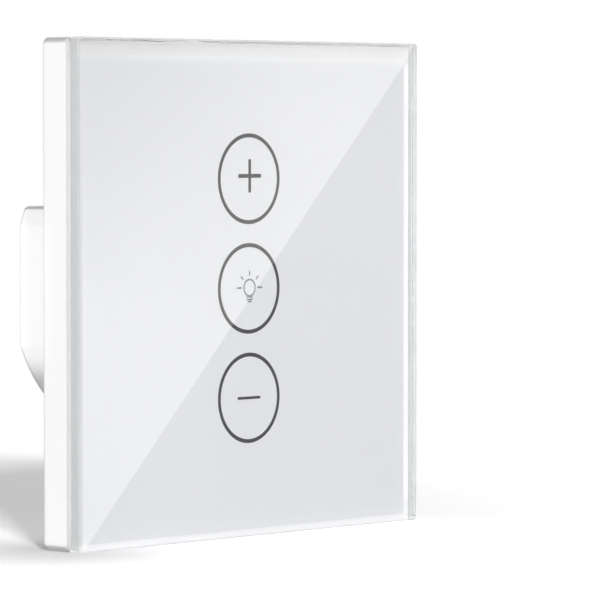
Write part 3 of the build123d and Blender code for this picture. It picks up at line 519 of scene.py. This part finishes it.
CAN_METAL = RolledSheet("can_metal", (0.82, 0.83, 0.84), 0.3, 1.0, grain=(1.0, 1.0, 1.0),
                        flower=0.02)
# the pale field is painted lighter towards its top edge: a painted highlight
WHITE_PRINT = PrintWithPaintedEdgeLight("white_print", (0.775, 0.775, 0.8), 0.6, drift=0.006, drift_size=30.0,
                         relief=0.0005, edge=(0.82, 0.82, 0.842))
# the white margin is painted darker towards its top and lower edges: painted shade
MARGIN_PRINT = PrintWithPaintedEdgeLight("margin_print", (0.98, 0.972, 0.985), 0.6, drift=0.006, relief=0.0005,
                          edge=(0.796, 0.79, 0.802), foot=(0.88, 0.874, 0.886))
DARK_PRINT = Finish("dark_print", (0.012, 0.014, 0.018), 0.6, relief=0.0005)
GREY_PRINT = Finish("grey_print", (0.2, 0.215, 0.23), 0.6, relief=0.0005)


class Part(Enum):
    """What is selected on a mesh."""

    FACE = "FACE"
    EDGE = "EDGE"


def crosswise(middle: Vector, way: Vector) -> bool:
    """True of a face towards the room or the wall, or of an edge that runs that way."""
    return abs(way.y) > ALONG


class Piece:
    """A mesh that is worked on in edit mode with Blender's own tools."""

    def __init__(self, thing: bpy.types.Object) -> None:
        """Takes over a fresh primitive and applies its place."""
        self.thing = thing
        bpy.ops.object.transform_apply(location=True, rotation=True, scale=True)

    @staticmethod
    def clear() -> None:
        """Leaves edit mode and selects nothing."""
        if bpy.context.object and bpy.context.object.mode != "OBJECT":
            bpy.ops.object.mode_set(mode="OBJECT")
        bpy.ops.object.select_all(action="DESELECT")

    def hold(self) -> None:
        """Selects only this piece."""
        self.clear()
        bpy.context.view_layer.objects.active = self.thing
        self.thing.select_set(True)

    @classmethod
    def block(cls, low: Point, high: Point) -> Self:
        """Starts from a box between two corners."""
        cls.clear()
        middle = [(a + b) / 2 * MM for a, b in zip(low, high)]
        size = [(b - a) * MM for a, b in zip(low, high)]
        bpy.ops.mesh.primitive_cube_add(size=1.0, location=middle, scale=size)
        return cls(bpy.context.object)

    @classmethod
    def rod(cls, middle: Point, radius: float, length: float, sides: int) -> Self:
        """Starts from a cylinder along Y.

        Args:
            middle: Its middle.
            radius: Its radius.
            length: Its length.
            sides: Number of its sides.

        Returns:
            The piece.
        """
        cls.clear()
        bpy.ops.mesh.primitive_cone_add(
            vertices=sides, radius1=radius * MM, radius2=radius * MM, depth=length * MM,
            location=[c * MM for c in middle], rotation=(math.pi / 2, 0.0, 0.0))
        return cls(bpy.context.object)

    @classmethod
    def bar(cls, start: Point, end: Point, width: float, depth: float) -> Self:
        """Starts from a straight bar in a plane that faces the room.

        Args:
            start: The middle of its one end.
            end: The middle of its other end.
            width: Its width in that plane.
            depth: Its thickness along Y.

        Returns:
            The piece.
        """
        cls.clear()
        a, b = Vector(start), Vector(end)
        turn = math.atan2(b.z - a.z, b.x - a.x)
        bpy.ops.mesh.primitive_cube_add(
            size=1.0, location=(a + b) / 2 * MM, rotation=(0.0, -turn, 0.0),
            scale=((b - a).length * MM, depth * MM, width * MM))
        return cls(bpy.context.object)

    def edit(self) -> bmesh.types.BMesh:
        """Enters edit mode and returns the mesh as it is there."""
        bpy.context.view_layer.objects.active = self.thing
        if self.thing.mode != "EDIT":
            bpy.ops.object.mode_set(mode="EDIT")
        return bmesh.from_edit_mesh(self.thing.data)

    def pick(self, test: Callable[[Vector, Vector], bool], part: Part = Part.FACE) -> Self:
        """Selects faces or edges.

        Args:
            test: Says of a middle, in millimetres, and a face's normal or an edge's direction
                whether the face or edge counts.
            part: What is selected.

        Returns:
            The piece.
        """
        mesh = self.edit()
        bpy.ops.mesh.select_mode(type=part.value)
        bpy.ops.mesh.select_all(action="DESELECT")
        for item in mesh.faces if part is Part.FACE else mesh.edges:
            ends = [v.co / MM for v in item.verts]
            way = item.normal if part is Part.FACE else (ends[1] - ends[0]).normalized()
            item.select_set(test(sum(ends, Vector()) / len(ends), way))
        bmesh.update_edit_mesh(self.thing.data)
        return self

    def inset(self, width: float) -> Self:
        """Insets the selected faces."""
        bpy.ops.mesh.inset(thickness=width * MM, use_even_offset=True)
        return self

    def extrude(self, move: Point) -> Self:
        """Extrudes the selected faces by a move in millimetres."""
        move = Vector(move) * MM
        bpy.ops.mesh.extrude_region_move(TRANSFORM_OT_translate={"value": move})
        return self

    def grow(self, factors: Point, middle: Point = (0, 0, 0)) -> Self:
        """Scales what is selected about a middle in millimetres."""
        centre = Vector(middle) * MM
        bpy.ops.transform.resize(value=factors, center_override=centre)
        return self

    def shift(self, by: Point) -> Self:
        """Moves what is selected."""
        bpy.ops.transform.translate(value=Vector(by) * MM)
        return self

    def bevel(self, width: float, steps: int = 1) -> Self:
        """Bevels the selected edges."""
        bpy.ops.mesh.bevel(offset=width * MM, segments=steps, affect="EDGES")
        return self

    def apply(self, kind: str, **settings: object) -> Self:
        """Adds a modifier and applies it.

        Args:
            kind: The modifier's type.
            **settings: Its settings.

        Returns:
            The piece.
        """
        self.hold()
        modifier = self.thing.modifiers.new(kind.lower(), kind)
        for name, value in settings.items():
            setattr(modifier, name, value)
        bpy.ops.object.modifier_apply(modifier=modifier.name)
        return self

    def scrap(self) -> None:
        """Removes the piece."""
        bpy.data.objects.remove(self.thing)

    def cut(self, cutter: Self) -> Self:
        """Cuts the shape of a cutter out of this piece, and scraps the cutter."""
        self.apply("BOOLEAN", object=cutter.thing, operation="DIFFERENCE", solver="EXACT")
        cutter.scrap()
        return self

    @classmethod
    def wind(cls, start: float, rise: float, turns: float, radius: float, wire: float,
             sides: int) -> Self:
        """Winds a closed coil round the Y axis.

        Args:
            start: Where its first turn starts along Y.
            rise: How far it climbs along Y, in all.
            turns: Number of turns.
            radius: Middle radius.
            wire: Radius of its section.
            sides: Number of corners of its section.

        Returns:
            The coil's piece.
        """
        coil = cls.rod((radius, 0.0, 0.0), wire, 0.001, sides)
        coil.pick(lambda m, n: n.y < ALONG)
        bpy.ops.mesh.delete(type="FACE")
        steps = round(24 * turns)
        coil.apply("SCREW", axis="Z", angle=2 * math.pi * turns, screw_offset=rise * MM,
                   steps=steps, render_steps=steps, use_merge_vertices=True)
        coil.edit()
        bpy.ops.mesh.select_all(action="SELECT")
        bpy.ops.mesh.fill_holes(sides=sides)
        return coil.turn(-math.pi / 2, Axis.X).move((0.0, start, 0.0))

    def turn(self, angle: float, axis: Axis, about: Point = (0, 0, 0)) -> Self:
        """Turns the whole mesh.

        Args:
            angle: The angle in radians.
            axis: The axis that it turns about.
            about: A point on that axis.

        Returns:
            The piece.
        """
        self.clear()
        there = Matrix.Translation(Vector(about) * MM)
        spin = Matrix.Rotation(angle, 4, axis.value)
        self.thing.data.transform(there @ spin @ there.inverted())
        return self

    def move(self, by: Point) -> Self:
        """Moves the whole mesh."""
        self.clear()
        self.thing.data.transform(Matrix.Translation(Vector(by) * MM))
        return self

    def copy(self, by: Point = (0, 0, 0), turn: float = 0.0) -> Self:
        """Makes a copy with a mesh of its own.

        Args:
            by: How far the copy is moved.
            turn: Its turn about the Y axis before that, in radians.

        Returns:
            The copy's piece.
        """
        self.clear()
        thing = self.thing.copy()
        thing.data = self.thing.data.copy()
        bpy.context.scene.collection.objects.link(thing)
        bpy.context.view_layer.objects.active = thing
        thing.select_set(True)
        return Piece(thing).turn(turn, Axis.Y).move(by)

    def join(self, others: Sequence[Self]) -> Self:
        """Joins other pieces into this one."""
        self.hold()
        for piece in others:
            piece.thing.select_set(True)
        bpy.ops.object.join()
        return self

    def done(self, name: str, body: str, finish: Finish | str, *replaces: str) -> None:
        """Turns the faces outwards, smooths and dresses the piece, and makes it ride.

        Args:
            name: The piece's name.
            body: The CAD body that it rides on.
            finish: A finish, or the record's slot whose finish it takes.
            *replaces: CAD nodes that it stands for.
        """
        self.edit()
        bpy.ops.mesh.select_all(action="SELECT")
        bpy.ops.mesh.normals_make_consistent(inside=False)
        self.hold()
        bpy.ops.object.shade_smooth_by_angle(angle=math.radians(35.0))
        self.thing.name = self.thing.data.name = name
        Palette.wear(self.thing, finish)
        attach(self.thing, body)
        if replaces:
            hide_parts(*replaces)
        log.info("%s rides on %s", name, body)


class Palette:
    """The materials that have been built, by name."""

    built: dict[str, bpy.types.Material] = {}

    @classmethod
    def of(cls, finish: Finish | str) -> bpy.types.Material:
        """The material of a finish or of a slot, built when it is first asked for."""
        finish = FINISHES[finish] if isinstance(finish, str) else finish
        if finish.name not in cls.built:
            cls.built[finish.name] = finish.build()
        return cls.built[finish.name]

    @classmethod
    def wear(cls, thing: bpy.types.Object, finish: Finish | str) -> None:
        """Puts a finish on a piece, in place of any other."""
        thing.data.materials.clear()
        thing.data.materials.append(cls.of(finish))

    @classmethod
    def dress(cls, frame: dict) -> None:
        """Gives every CAD node its slot's finish.

        Args:
            frame: The loaded frame.
        """
        for entry in frame["record"]["subparts"]:
            cls.wear(frame["nodes"][entry["node"]], entry["material_slot"])
            log.info("%s dressed as %s", entry["node"], entry["material_slot"])


@dataclass
class FrontPanel:
    """The glass with its print."""

    cut: ClearGlass = PANEL_GLASS  # the glass's finish, which holds its sizes
    field_width: float = 82.2
    field_height: float = 82.1
    field_drop: float = 0.85  # how far it lies below the glass's middle
    field_corner: float = 0.4
    film: float = 0.03  # thickness of the print
    bite: float = 0.01  # depth by which it reaches into the glass
    lip: float = 0.6  # height of the white paint on the lower arris
    ring_radius: float = 7.53
    ring_line: float = 0.68
    reach: float = 2.9  # half the length of the plus and minus strokes
    plus_line: float = 0.66
    plus_place: Pair = (0.2, 0.5)
    minus_line: float = 0.47
    bulb_place: Pair = (0.15, 0.12)
    globe: Pair = (1.42, 0.32)  # middle radius and line of the bulb's globe
    # half width and height of its base's lines
    bars: tuple[Pair, ...] = ((0.75, -1.6), (0.75, -2.03), (0.5, -2.4))
    bar_line: float = 0.28
    # angle in degrees, start and end of its rays
    rays: tuple[Place, ...] = (
        (0, 1.95, 3.25), (42, 2.15, 3.0), (90, 2.1, 2.95), (138, 2.15, 3.0), (180, 1.95, 3.25))
    ray_line: float = 0.3

    def glass(self) -> None:
        """Models the slab and its ground edges."""
        cut = self.cut
        slab = Piece.block((-cut.half, -cut.front, -cut.half), (cut.half, -cut.back, cut.half))
        slab.pick(crosswise, Part.EDGE).bevel(cut.corner, 5)
        slab.pick(lambda m, d: m.y < HAIR - cut.front, Part.EDGE).bevel(cut.bevel)
        slab.pick(lambda m, d: m.y > -cut.back - HAIR, Part.EDGE).bevel(cut.arris)
        slab.done("glass_slab", "front_panel", "panel_glass", "glass_panel")

    def prints(self) -> None:
        """Models the pale field on the glass's rear face, and the white margin round it."""
        half, tall = self.field_width / 2, self.field_height / 2
        edge = self.cut.half - self.cut.arris
        front = -self.cut.back - self.bite
        back, drop = front + self.film, (0.0, 0.0, -self.field_drop)
        sheet = Piece.block((-half, front, -tall), (half, back, tall))
        sheet.pick(crosswise, Part.EDGE).bevel(self.field_corner, 4).move(drop)
        sheet.done("pale_field", "front_panel", WHITE_PRINT)
        sheet = Piece.block((-edge, front, -edge), (edge, back, edge))
        sheet.pick(crosswise).inset(edge - half)
        sheet.pick(lambda m, n: crosswise(m, n) and abs(m.x) < 1.0 and abs(m.z) < 1.0)
        sheet.grow((1.0, 1.0, tall / half)).shift(drop)
        bpy.ops.mesh.bridge_edge_loops()
        lip = Piece.block((-edge, front - self.bite, -edge - self.lip),
                          (edge, back - self.bite, -edge))
        lip.pick(lambda m, n: n.z < -ALONG).shift((0.0, -self.lip, 0.0))
        sheet.join([lip]).done("white_margin", "front_panel", MARGIN_PRINT)

    def spot(self, x: float, z: float) -> Vector:
        """A place in the middle of the signs' film."""
        return Vector((x, -self.cut.back - self.film / 2, z))

    def ring(self, x: float, z: float, radius: float, line: float) -> Piece:
        """Models one flat ring.

        Args:
            x: Its middle in X.
            z: Its middle in Z.
            radius: Its middle radius.
            line: Width of its line.

        Returns:
            The ring's piece.
        """
        disc = Piece.rod(self.spot(x, z), radius + line / 2, self.film, 96)
        disc.pick(crosswise).inset(line)
        disc.pick(lambda m, n: crosswise(m, n) and math.hypot(m.x - x, m.z - z) < 0.1)
        bpy.ops.mesh.bridge_edge_loops()
        return disc

    def stroke(self, start: Point, end: Point, width: float) -> Piece:
        """Models one straight stroke between two points in X and Z."""
        line = Piece.bar(self.spot(*start), self.spot(*end), width, self.film)
        return line.pick(crosswise, Part.EDGE).bevel(width / 4, 2)

    def keys(self) -> None:
        """Models the three rings and the marks for brighter and dimmer."""
        first = self.ring(0.0, -KEY_PITCH, self.ring_radius, self.ring_line)
        rest = [first.copy((0, 0, KEY_PITCH * n)) for n in (1, 2)]
        first.join(rest).done("key_rings", "front_panel", DARK_PRINT)
        x, z, reach = self.plus_place[0], KEY_PITCH + self.plus_place[1], self.reach
        level = self.stroke((x - reach, z), (x + reach, z), self.plus_line)
        upright = self.stroke((x, z - reach), (x, z + reach), self.plus_line)
        upright.move((0.0, -self.bite, 0.0))
        level.join([upright]).done("plus_mark", "front_panel", DARK_PRINT)
        low = self.stroke((-reach, -KEY_PITCH), (reach, -KEY_PITCH), self.minus_line)
        low.done("minus_mark", "front_panel", DARK_PRINT)

    def bulb(self) -> None:
        """Models the light mark: a bulb's outline with its base and five rays."""
        middle = Vector(self.bulb_place)
        globe = self.ring(*middle, *self.globe)
        parts = []
        for half, low in self.bars:
            ends = [middle + Vector((x, low)) for x in (-half, half)]
            parts.append(self.stroke(*ends, self.bar_line))
        for angle, near, far in self.rays:
            way = Vector((math.cos(math.radians(angle)), math.sin(math.radians(angle))))
            parts.append(self.stroke(middle + way * near, middle + way * far, self.ray_line))
        globe.join(parts).done("bulb_mark", "front_panel", GREY_PRINT)

    def build(self) -> None:
        """Builds the glass and all of its print."""
        self.glass()
        self.prints()
        self.keys()
        self.bulb()


@dataclass(frozen=True)
class Screw:
    """A screw along Y whose head's seat lies at the origin."""

    head: float  # radius of its head
    rise: float  # height of its head
    shank: float  # outer radius of its thread
    length: float  # length below the head
    pitch: float  # from turn to turn of its thread
    arms: tuple[float, ...]  # half lengths of its drive's one or two arms
    slot: float  # width of an arm
    deep: float  # depth of the drive
    bare: float = 0.3  # length below the head that has no thread
    point: float = 0.0  # length of its tapered point, or 0

    @property
    def ridge(self) -> float:
        """Half the height of a thread's section."""
        return 0.46 * self.pitch if self.pitch < 0.6 else 0.3

    def body(self) -> Piece:
        """Models the head with its rounded rim, the core of the shank and its point."""
        core, tip = self.shank - self.ridge, max(self.point, 0.2)
        screw = Piece.rod((0.0, -self.rise / 2, 0.0), self.head, self.rise, 40)
        screw.pick(lambda m, d: m.y < 0.01 - self.rise, Part.EDGE).bevel(0.36 * self.rise, 4)
        screw.pick(lambda m, n: n.y > ALONG).inset(self.head - core)
        screw.extrude((0.0, self.length - tip, 0.0)).extrude((0.0, tip, 0.0))
        taper = 0.3 if self.point else 0.85
        return screw.grow((taper, 1.0, taper), (0.0, self.length, 0.0))

    def thread(self) -> Piece:
        """Winds the thread's ridge round the shank."""
        climb = self.length - self.bare - max(self.point, 0.3) - self.ridge
        return Piece.wind(self.bare + self.ridge, climb, climb / self.pitch,
                          self.shank - self.ridge, self.ridge, 4)

    def build(self) -> Piece:
        """Models the whole screw, and cuts the drive into its head.

        Returns:
            The screw's piece.
        """
        screw = self.body()
        for turn, arm in enumerate(self.arms):
            cutter = Piece.block((-arm, -self.rise - 0.5, -self.slot / 2),
                                 (arm, self.deep - self.rise, self.slot / 2))
            if len(self.arms) > 1:
                cutter.pick(lambda m, n: n.y > ALONG).grow((0.35, 1.0, 1.0))
            screw.cut(cutter.turn(turn * math.pi / 2, Axis.Y))
        return screw.join([self.thread()])


@dataclass
class Fasteners:
    """The cover, tab and terminal screws. Places are middles in X, and in Z where they differ."""

    cover_screw: Screw = Screw(2.3, 1.5, 1.3, 8.6, 1.0, (1.25, 1.25), 0.4, 0.95, 2.4, 1.2)
    # places in X and Z, and turns
    cover_places: tuple[Place, ...] = (
        (-19.4, -13.4, 0.0), (19.4, -13.4, 0.5), (-19.4, 13.4, 1.1), (19.4, 13.4, 0.25))
    cover_seat: float = 2.6  # height of the cover
    tab_screw: Screw = Screw(2.2, 1.4, 1.25, 2.9, 0.45, (1.15, 1.15), 0.38, 0.85)
    tab_places: Pair = (3.5, 15.5)
    tab_seat: Pair = (18.0, 6.75)  # depth of their middles and Z of their seats
    terminal_screw: Screw = Screw(1.95, 1.5, 1.5, 4.2, 0.5, (2.2,), 0.7, 0.8)
    pole_places: tuple[tuple[str, float], ...] = (("line", -7.5), ("neutral", 0.0), ("load", 7.5))
    pole_seat: Pair = (13.95, 18.85)  # depth of their heads' undersides and Z of their axes

    def cover_screws(self) -> None:
        """Models one cover screw, and copies it."""
        screw = self.cover_screw.build()
        first, *rest = (screw.copy((x, -self.cover_seat, z), turn)
                        for x, z, turn in self.cover_places)
        screw.scrap()
        first.join(rest).done("cover_screws_detail", "base", "screw_steel", "cover_screws")

    def tab_screws(self) -> None:
        """Models the two tab screws, which lie along Z."""
        screw = self.tab_screw.build().turn(math.pi / 2, Axis.X)
        screw.move((self.tab_places[0], *self.tab_seat))
        other = screw.copy((self.tab_places[1] - self.tab_places[0], 0.0, 0.0))
        screw.join([other]).done("tab_screws_detail", "base", "screw_steel", "tab_screws")

    def terminal_screws(self) -> None:
        """Models the clamp screws, whose heads face away from the room."""
        screw = self.terminal_screw.build().turn(math.pi, Axis.Z)
        for pole, x in self.pole_places:
            node = f"terminal_screw_{pole}"
            piece = screw.copy((x, *self.pole_seat))
            piece.done(f"{node}_detail", f"screw_{pole}", "screw_steel", node)
        screw.scrap()

    def build(self) -> None:
        """Builds all fasteners."""
        self.cover_screws()
        self.tab_screws()
        self.terminal_screws()


@dataclass
class Cans:
    """Upright capacitors: a sleeve round an aluminium can with a scored top."""

    board: float = 4.8  # depth of the power board's rear face
    foot: float = 1.1  # length below the rolled groove
    groove: float = 0.25
    roll: float = 0.3  # length of each flank of the groove
    roll_floor: float = 0.35  # length of its floor
    shoulder: Pair = (0.45, 0.5)  # width and length of the rounded shoulder
    lap: float = 0.7  # width of the sleeve's rim over the top
    sink: float = 0.12  # depth of the top below that rim
    score: float = 0.1  # half the width of a score
    score_turn: float = 0.3  # turn of the scored cross, in radians
    # middles of the two bulk cans in X and Z
    bulk_places: tuple[Pair, ...] = ((-9.5, -15.5), (0.0, -18.2))
    bulk_size: Pair = (4.0, 13.0)  # their radius and length
    output_place: Pair = (9.6, -16.6)
    output_size: Pair = (3.15, 8.0)  # its radius and length

    def can(self, x: float, z: float, radius: float, length: float) -> list[Piece]:
        """Models one can.

        Args:
            x: Its middle in X.
            z: Its middle in Z.
            radius: Its outer radius.
            length: Its length.

        Returns:
            The sleeve and the scored top.
        """
        neck, top = (radius - self.groove) / radius, 1 - self.shoulder[0] / radius
        barrel = length - self.foot - 2 * self.roll - self.roll_floor - self.shoulder[1]
        sleeve = Piece.rod((x, self.board + self.foot / 2, z), radius, self.foot, 48)
        sleeve.pick(lambda m, n: n.y > ALONG)
        steps = ((self.roll, neck), (self.roll_floor, 1.0), (self.roll, 1 / neck), (barrel, 1.0),
                 (self.shoulder[1], top))
        for step, factor in steps:
            sleeve.extrude((0.0, step, 0.0)).grow((factor, 1.0, factor), (x, 0.0, z))
        sleeve.inset(self.lap).extrude((0.0, -self.sink, 0.0))
        end, thick = self.board + length, 0.08
        wide = radius - self.shoulder[0] - 0.02 - self.lap
        disc = Piece.rod((x, end - thick, z), wide, thick, 48)
        for turn in (self.score_turn, self.score_turn + math.pi / 2):
            score = Piece.block((x - radius, end - thick - 0.01, z - self.score),
                                (x + radius, end, z + self.score))
            disc.cut(score.turn(turn, Axis.Y, (x, 0.0, z)))
        return [sleeve, disc]

    def build(self) -> None:
        """Builds the two bulk cans and the output can."""
        (left, left_top), (right, right_top) = (
            self.can(*place, *self.bulk_size) for place in self.bulk_places)
        left.join([right]).done("bulk_sleeves", "base", "can_sleeve", "bulk_capacitors")
        left_top.join([right_top]).done("bulk_tops", "base", CAN_METAL)
        sleeve, top = self.can(*self.output_place, *self.output_size)
        sleeve.done("output_sleeve", "base", "can_sleeve", "output_capacitor")
        top.done("output_top", "base", CAN_METAL)


@dataclass
class TouchSprings:
    """The coil springs in front of the touch board, one behind each key."""

    board_front: float = 4.1
    top: float = 5.5  # height of the springs' free ends
    foot: float = 3.4  # radius of a spring at its foot
    wire: float = 0.34
    turns: int = 3

    def build(self) -> None:
        """Winds one spring, and copies it."""
        rise = self.top - self.board_front - self.wire
        start = self.wire / 2 - self.top
        coil = Piece.wind(start, rise, self.turns, self.foot, self.wire / 2, 10)
        rest = [coil.copy((0.0, 0.0, KEY_PITCH * n)) for n in (-1, 1)]
        coil.join(rest).done("touch_springs_wound", "base", "spring_metal", "touch_springs")


@dataclass
class Studio:
    """Floor, world, lamps and camera."""

    floor: float = -43.02  # Z of the floor, under the object's lowest edge
    # middle of the painted shadow on the floor under the object's left edge, in metres
    painted_shadow_middle: Place = (-0.043, -0.002, 0.0)
    shade: Rgb = (0.82, 0.82, 0.82)  # colour of the floor in that painted shadow
    lit: Rgb = (1.56, 1.56, 1.56)  # colour of the floor away from the painted shadow
    eye: Place = (-555.043, -520.048, 27.5205)  # camera's place
    yaw: float = 0.83672  # camera's turn to the right of +Y, in radians
    dip: float = 0.03907  # camera's angle below level, in radians
    lens: float = 261.28  # focal length on a film of this width
    film: float = 36.0  # width of the film
    picture: float = 600.0  # width and height of the picture in pixels
    level: float = 0.8  # strength of the light from the sides
    overhead: float = 0.15  # strength of the light from above
    far: float = 2600.0  # distance of the card from the mirrored camera
    # the card's corners, by column and row of the picture
    outline: tuple[Pair, ...] = ((86, 548), (403, 66), (470, -80), (-60, -80), (-60, 620))
    # columns and rows between which the card turns from dim to bright
    fade: tuple[Pair, ...] = ((60, 60), (244.5, 307))
    dim: Rgb = (0.172, 0.171, 0.162)  # the card's colour where it is dim
    bright: Rgb = (1.0, 0.995, 0.94)  # the card's colour where it is bright

    @staticmethod
    def put(data: bpy.types.ID, place: Point = (0.0, 0.0, 0.0)) -> bpy.types.Object:
        """Adds an object with its data to the scene, at a place in metres."""
        thing = bpy.data.objects.new(data.name, data)
        bpy.context.scene.collection.objects.link(thing)
        thing.location = place
        return thing

    def ray_share(self, bench: Bench) -> Wire:
        """1 for camera, glossy and transmission rays that haven't met a matte surface yet."""
        share = bench.node("ShaderNodeLightPath", out="Is Camera Ray")
        outputs = share.socket.node.outputs
        for name in ("Is Glossy Ray", "Is Transmission Ray"):
            share = share.math("MAXIMUM", Wire(bench, outputs[name]))
        return share * (Wire(bench, outputs["Diffuse Depth"]) < 0.5)

    def world(self) -> None:
        """Makes a white world that lights matte surfaces less than it shows."""
        bench = Bench("studio", world=True)
        share = self.ray_share(bench)
        ambient = self.level - (self.level - self.overhead) * bench.z.math("MAXIMUM", 0.0)
        inputs = {"Color": WHITE, "Strength": share * (1.0 - ambient) + ambient}
        sky = bench.node("ShaderNodeBackground", inputs=inputs)
        bpy.context.scene.world = bench.close(sky)

    def ground(self) -> None:
        """Makes the pale floor with a painted shadow under the object's left edge; it turns to plain
        white away from the object.
        """
        Piece.clear()
        bpy.ops.mesh.primitive_plane_add(size=24.0, location=(0.0, 0.0, self.floor * MM))
        plane = bpy.context.object
        plane.name = "floor"
        bench = Bench("floor_white")
        # painted shadow: the floor's colour darkens towards the object's left edge
        tone = bench.mix(bench.distance(self.painted_shadow_middle).ease(-0.008, 0.034), self.shade, self.lit)
        away = bench.distance((-0.06, 0.11, 0.0)).ease(0.15, 0.185)
        seen = bench.blend(away, bench.matte(tone), bench.glow(WHITE))
        lighting = bench.matte((0.8, 0.8, 0.8, 1.0))
        plane.data.materials.append(bench.close(bench.blend(self.ray_share(bench), lighting, seen)))
        plane.visible_glossy = False

    def lamp(self, name: str, kind: str, place: Point, aim: Point, power: float,
             narrow: float = 1.0, **settings: float) -> None:
        """Hangs a lamp that reflections leave out.

        Args:
            name: The lamp's name.
            kind: The type of its light.
            place: Its place in metres.
            aim: The point it faces, in metres.
            power: Its power in watts.
            narrow: Share of its width across the beam.
            **settings: Further settings of its light.
        """
        light = bpy.data.lights.new(name, kind)
        for key, value in {"energy": power, **settings}.items():
            setattr(light, key, value)
        thing = self.put(light, place)
        way = Vector(aim) - Vector(place)
        thing.rotation_euler = way.to_track_quat("-Z", "Y").to_euler()
        thing.scale = (narrow, 1.0, 1.0)
        thing.visible_glossy = False
        log.info("lamp %s", name)

    def lamps(self) -> None:
        """Hangs the key lamp and the two spots that light the object's left side."""
        self.lamp("key", "AREA", (-0.838, -1.093, 0.717), (0.0, 0.0, 0.0), 12.5, size=0.18)
        beam = {"spot_blend": 0.4, "shadow_soft_size": 0.004}
        self.lamp("side_spot", "SPOT", (-1.5, 0.0, -0.01), (-0.04, 0.005, -0.005), 26.0,
                  spot_size=math.radians(5.0), **beam)
        self.lamp("housing_spot", "SPOT", (-1.3, 0.0145, 0.0), (-0.025, 0.0145, 0.001), 18.0,
                  narrow=0.5, spot_size=math.radians(2.8), **beam)

    def sight(self, column: float, row: float) -> Vector:
        """Finds what the glass mirrors at a place of the picture.

        Args:
            column: The place's column.
            row: The place's row.

        Returns:
            A point on the card's plane, in metres.
        """
        ahead = Vector((math.sin(self.yaw) * math.cos(self.dip),
                        math.cos(self.yaw) * math.cos(self.dip), -math.sin(self.dip)))
        right = Vector((math.cos(self.yaw), -math.sin(self.yaw), 0.0))
        scale, middle = self.lens / self.film * self.picture, self.picture / 2
        ray = ahead + right * ((column - middle) / scale)
        ray += right.cross(ahead) * ((middle - row) / scale)
        eye = Vector((self.eye[0], -2 * PANEL_GLASS.front - self.eye[1], self.eye[2]))
        return (eye + Vector((ray.x, -ray.y, ray.z)) * self.far) * MM

    def card(self) -> None:
        """Hangs a bright card whose slanted edge is mirrored across the glass."""
        corners = [tuple(self.sight(*corner)) for corner in self.outline]
        mesh = bpy.data.meshes.new("sheen_card")
        mesh.from_pydata(corners, [], [tuple(range(len(corners)))])
        bench = Bench("card_light")
        start, end = (self.sight(*place) for place in self.fade)
        share = bench.distance(tuple(start)).ease(0.0, (end - start).length)
        mesh.materials.append(bench.close(bench.glow(bench.mix(share, self.dim, self.bright), 2.9)))
        thing = self.put(mesh)
        for name in ("camera", "diffuse", "transmission", "volume_scatter", "shadow"):
            setattr(thing, f"visible_{name}", False)

    def camera(self) -> None:
        """Sets the camera at the photograph's angle."""
        data = bpy.data.cameras.new("camera")
        data.lens, data.sensor_width, data.clip_start = self.lens, self.film, 0.01
        thing = self.put(data, Vector(self.eye) * MM)
        thing.rotation_euler = (math.pi / 2 - self.dip, 0.0, -self.yaw)
        bpy.context.scene.camera = thing

    def build(self) -> None:
        """Builds the whole studio."""
        bpy.context.scene.view_settings.view_transform = "Standard"
        self.world()
        self.ground()
        self.card()
        self.lamps()
        self.camera()


def main() -> None:
    """Builds the switch and its studio."""
    logging.basicConfig(level=logging.INFO, format="%(name)s: %(message)s")
    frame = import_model()
    Palette.dress(frame)
    for assembly in (FrontPanel(), Fasteners(), Cans(), TouchSprings(), Studio()):
        assembly.build()
        log.info("%s built", type(assembly).__name__)


if __name__ == "__main__":
    main()
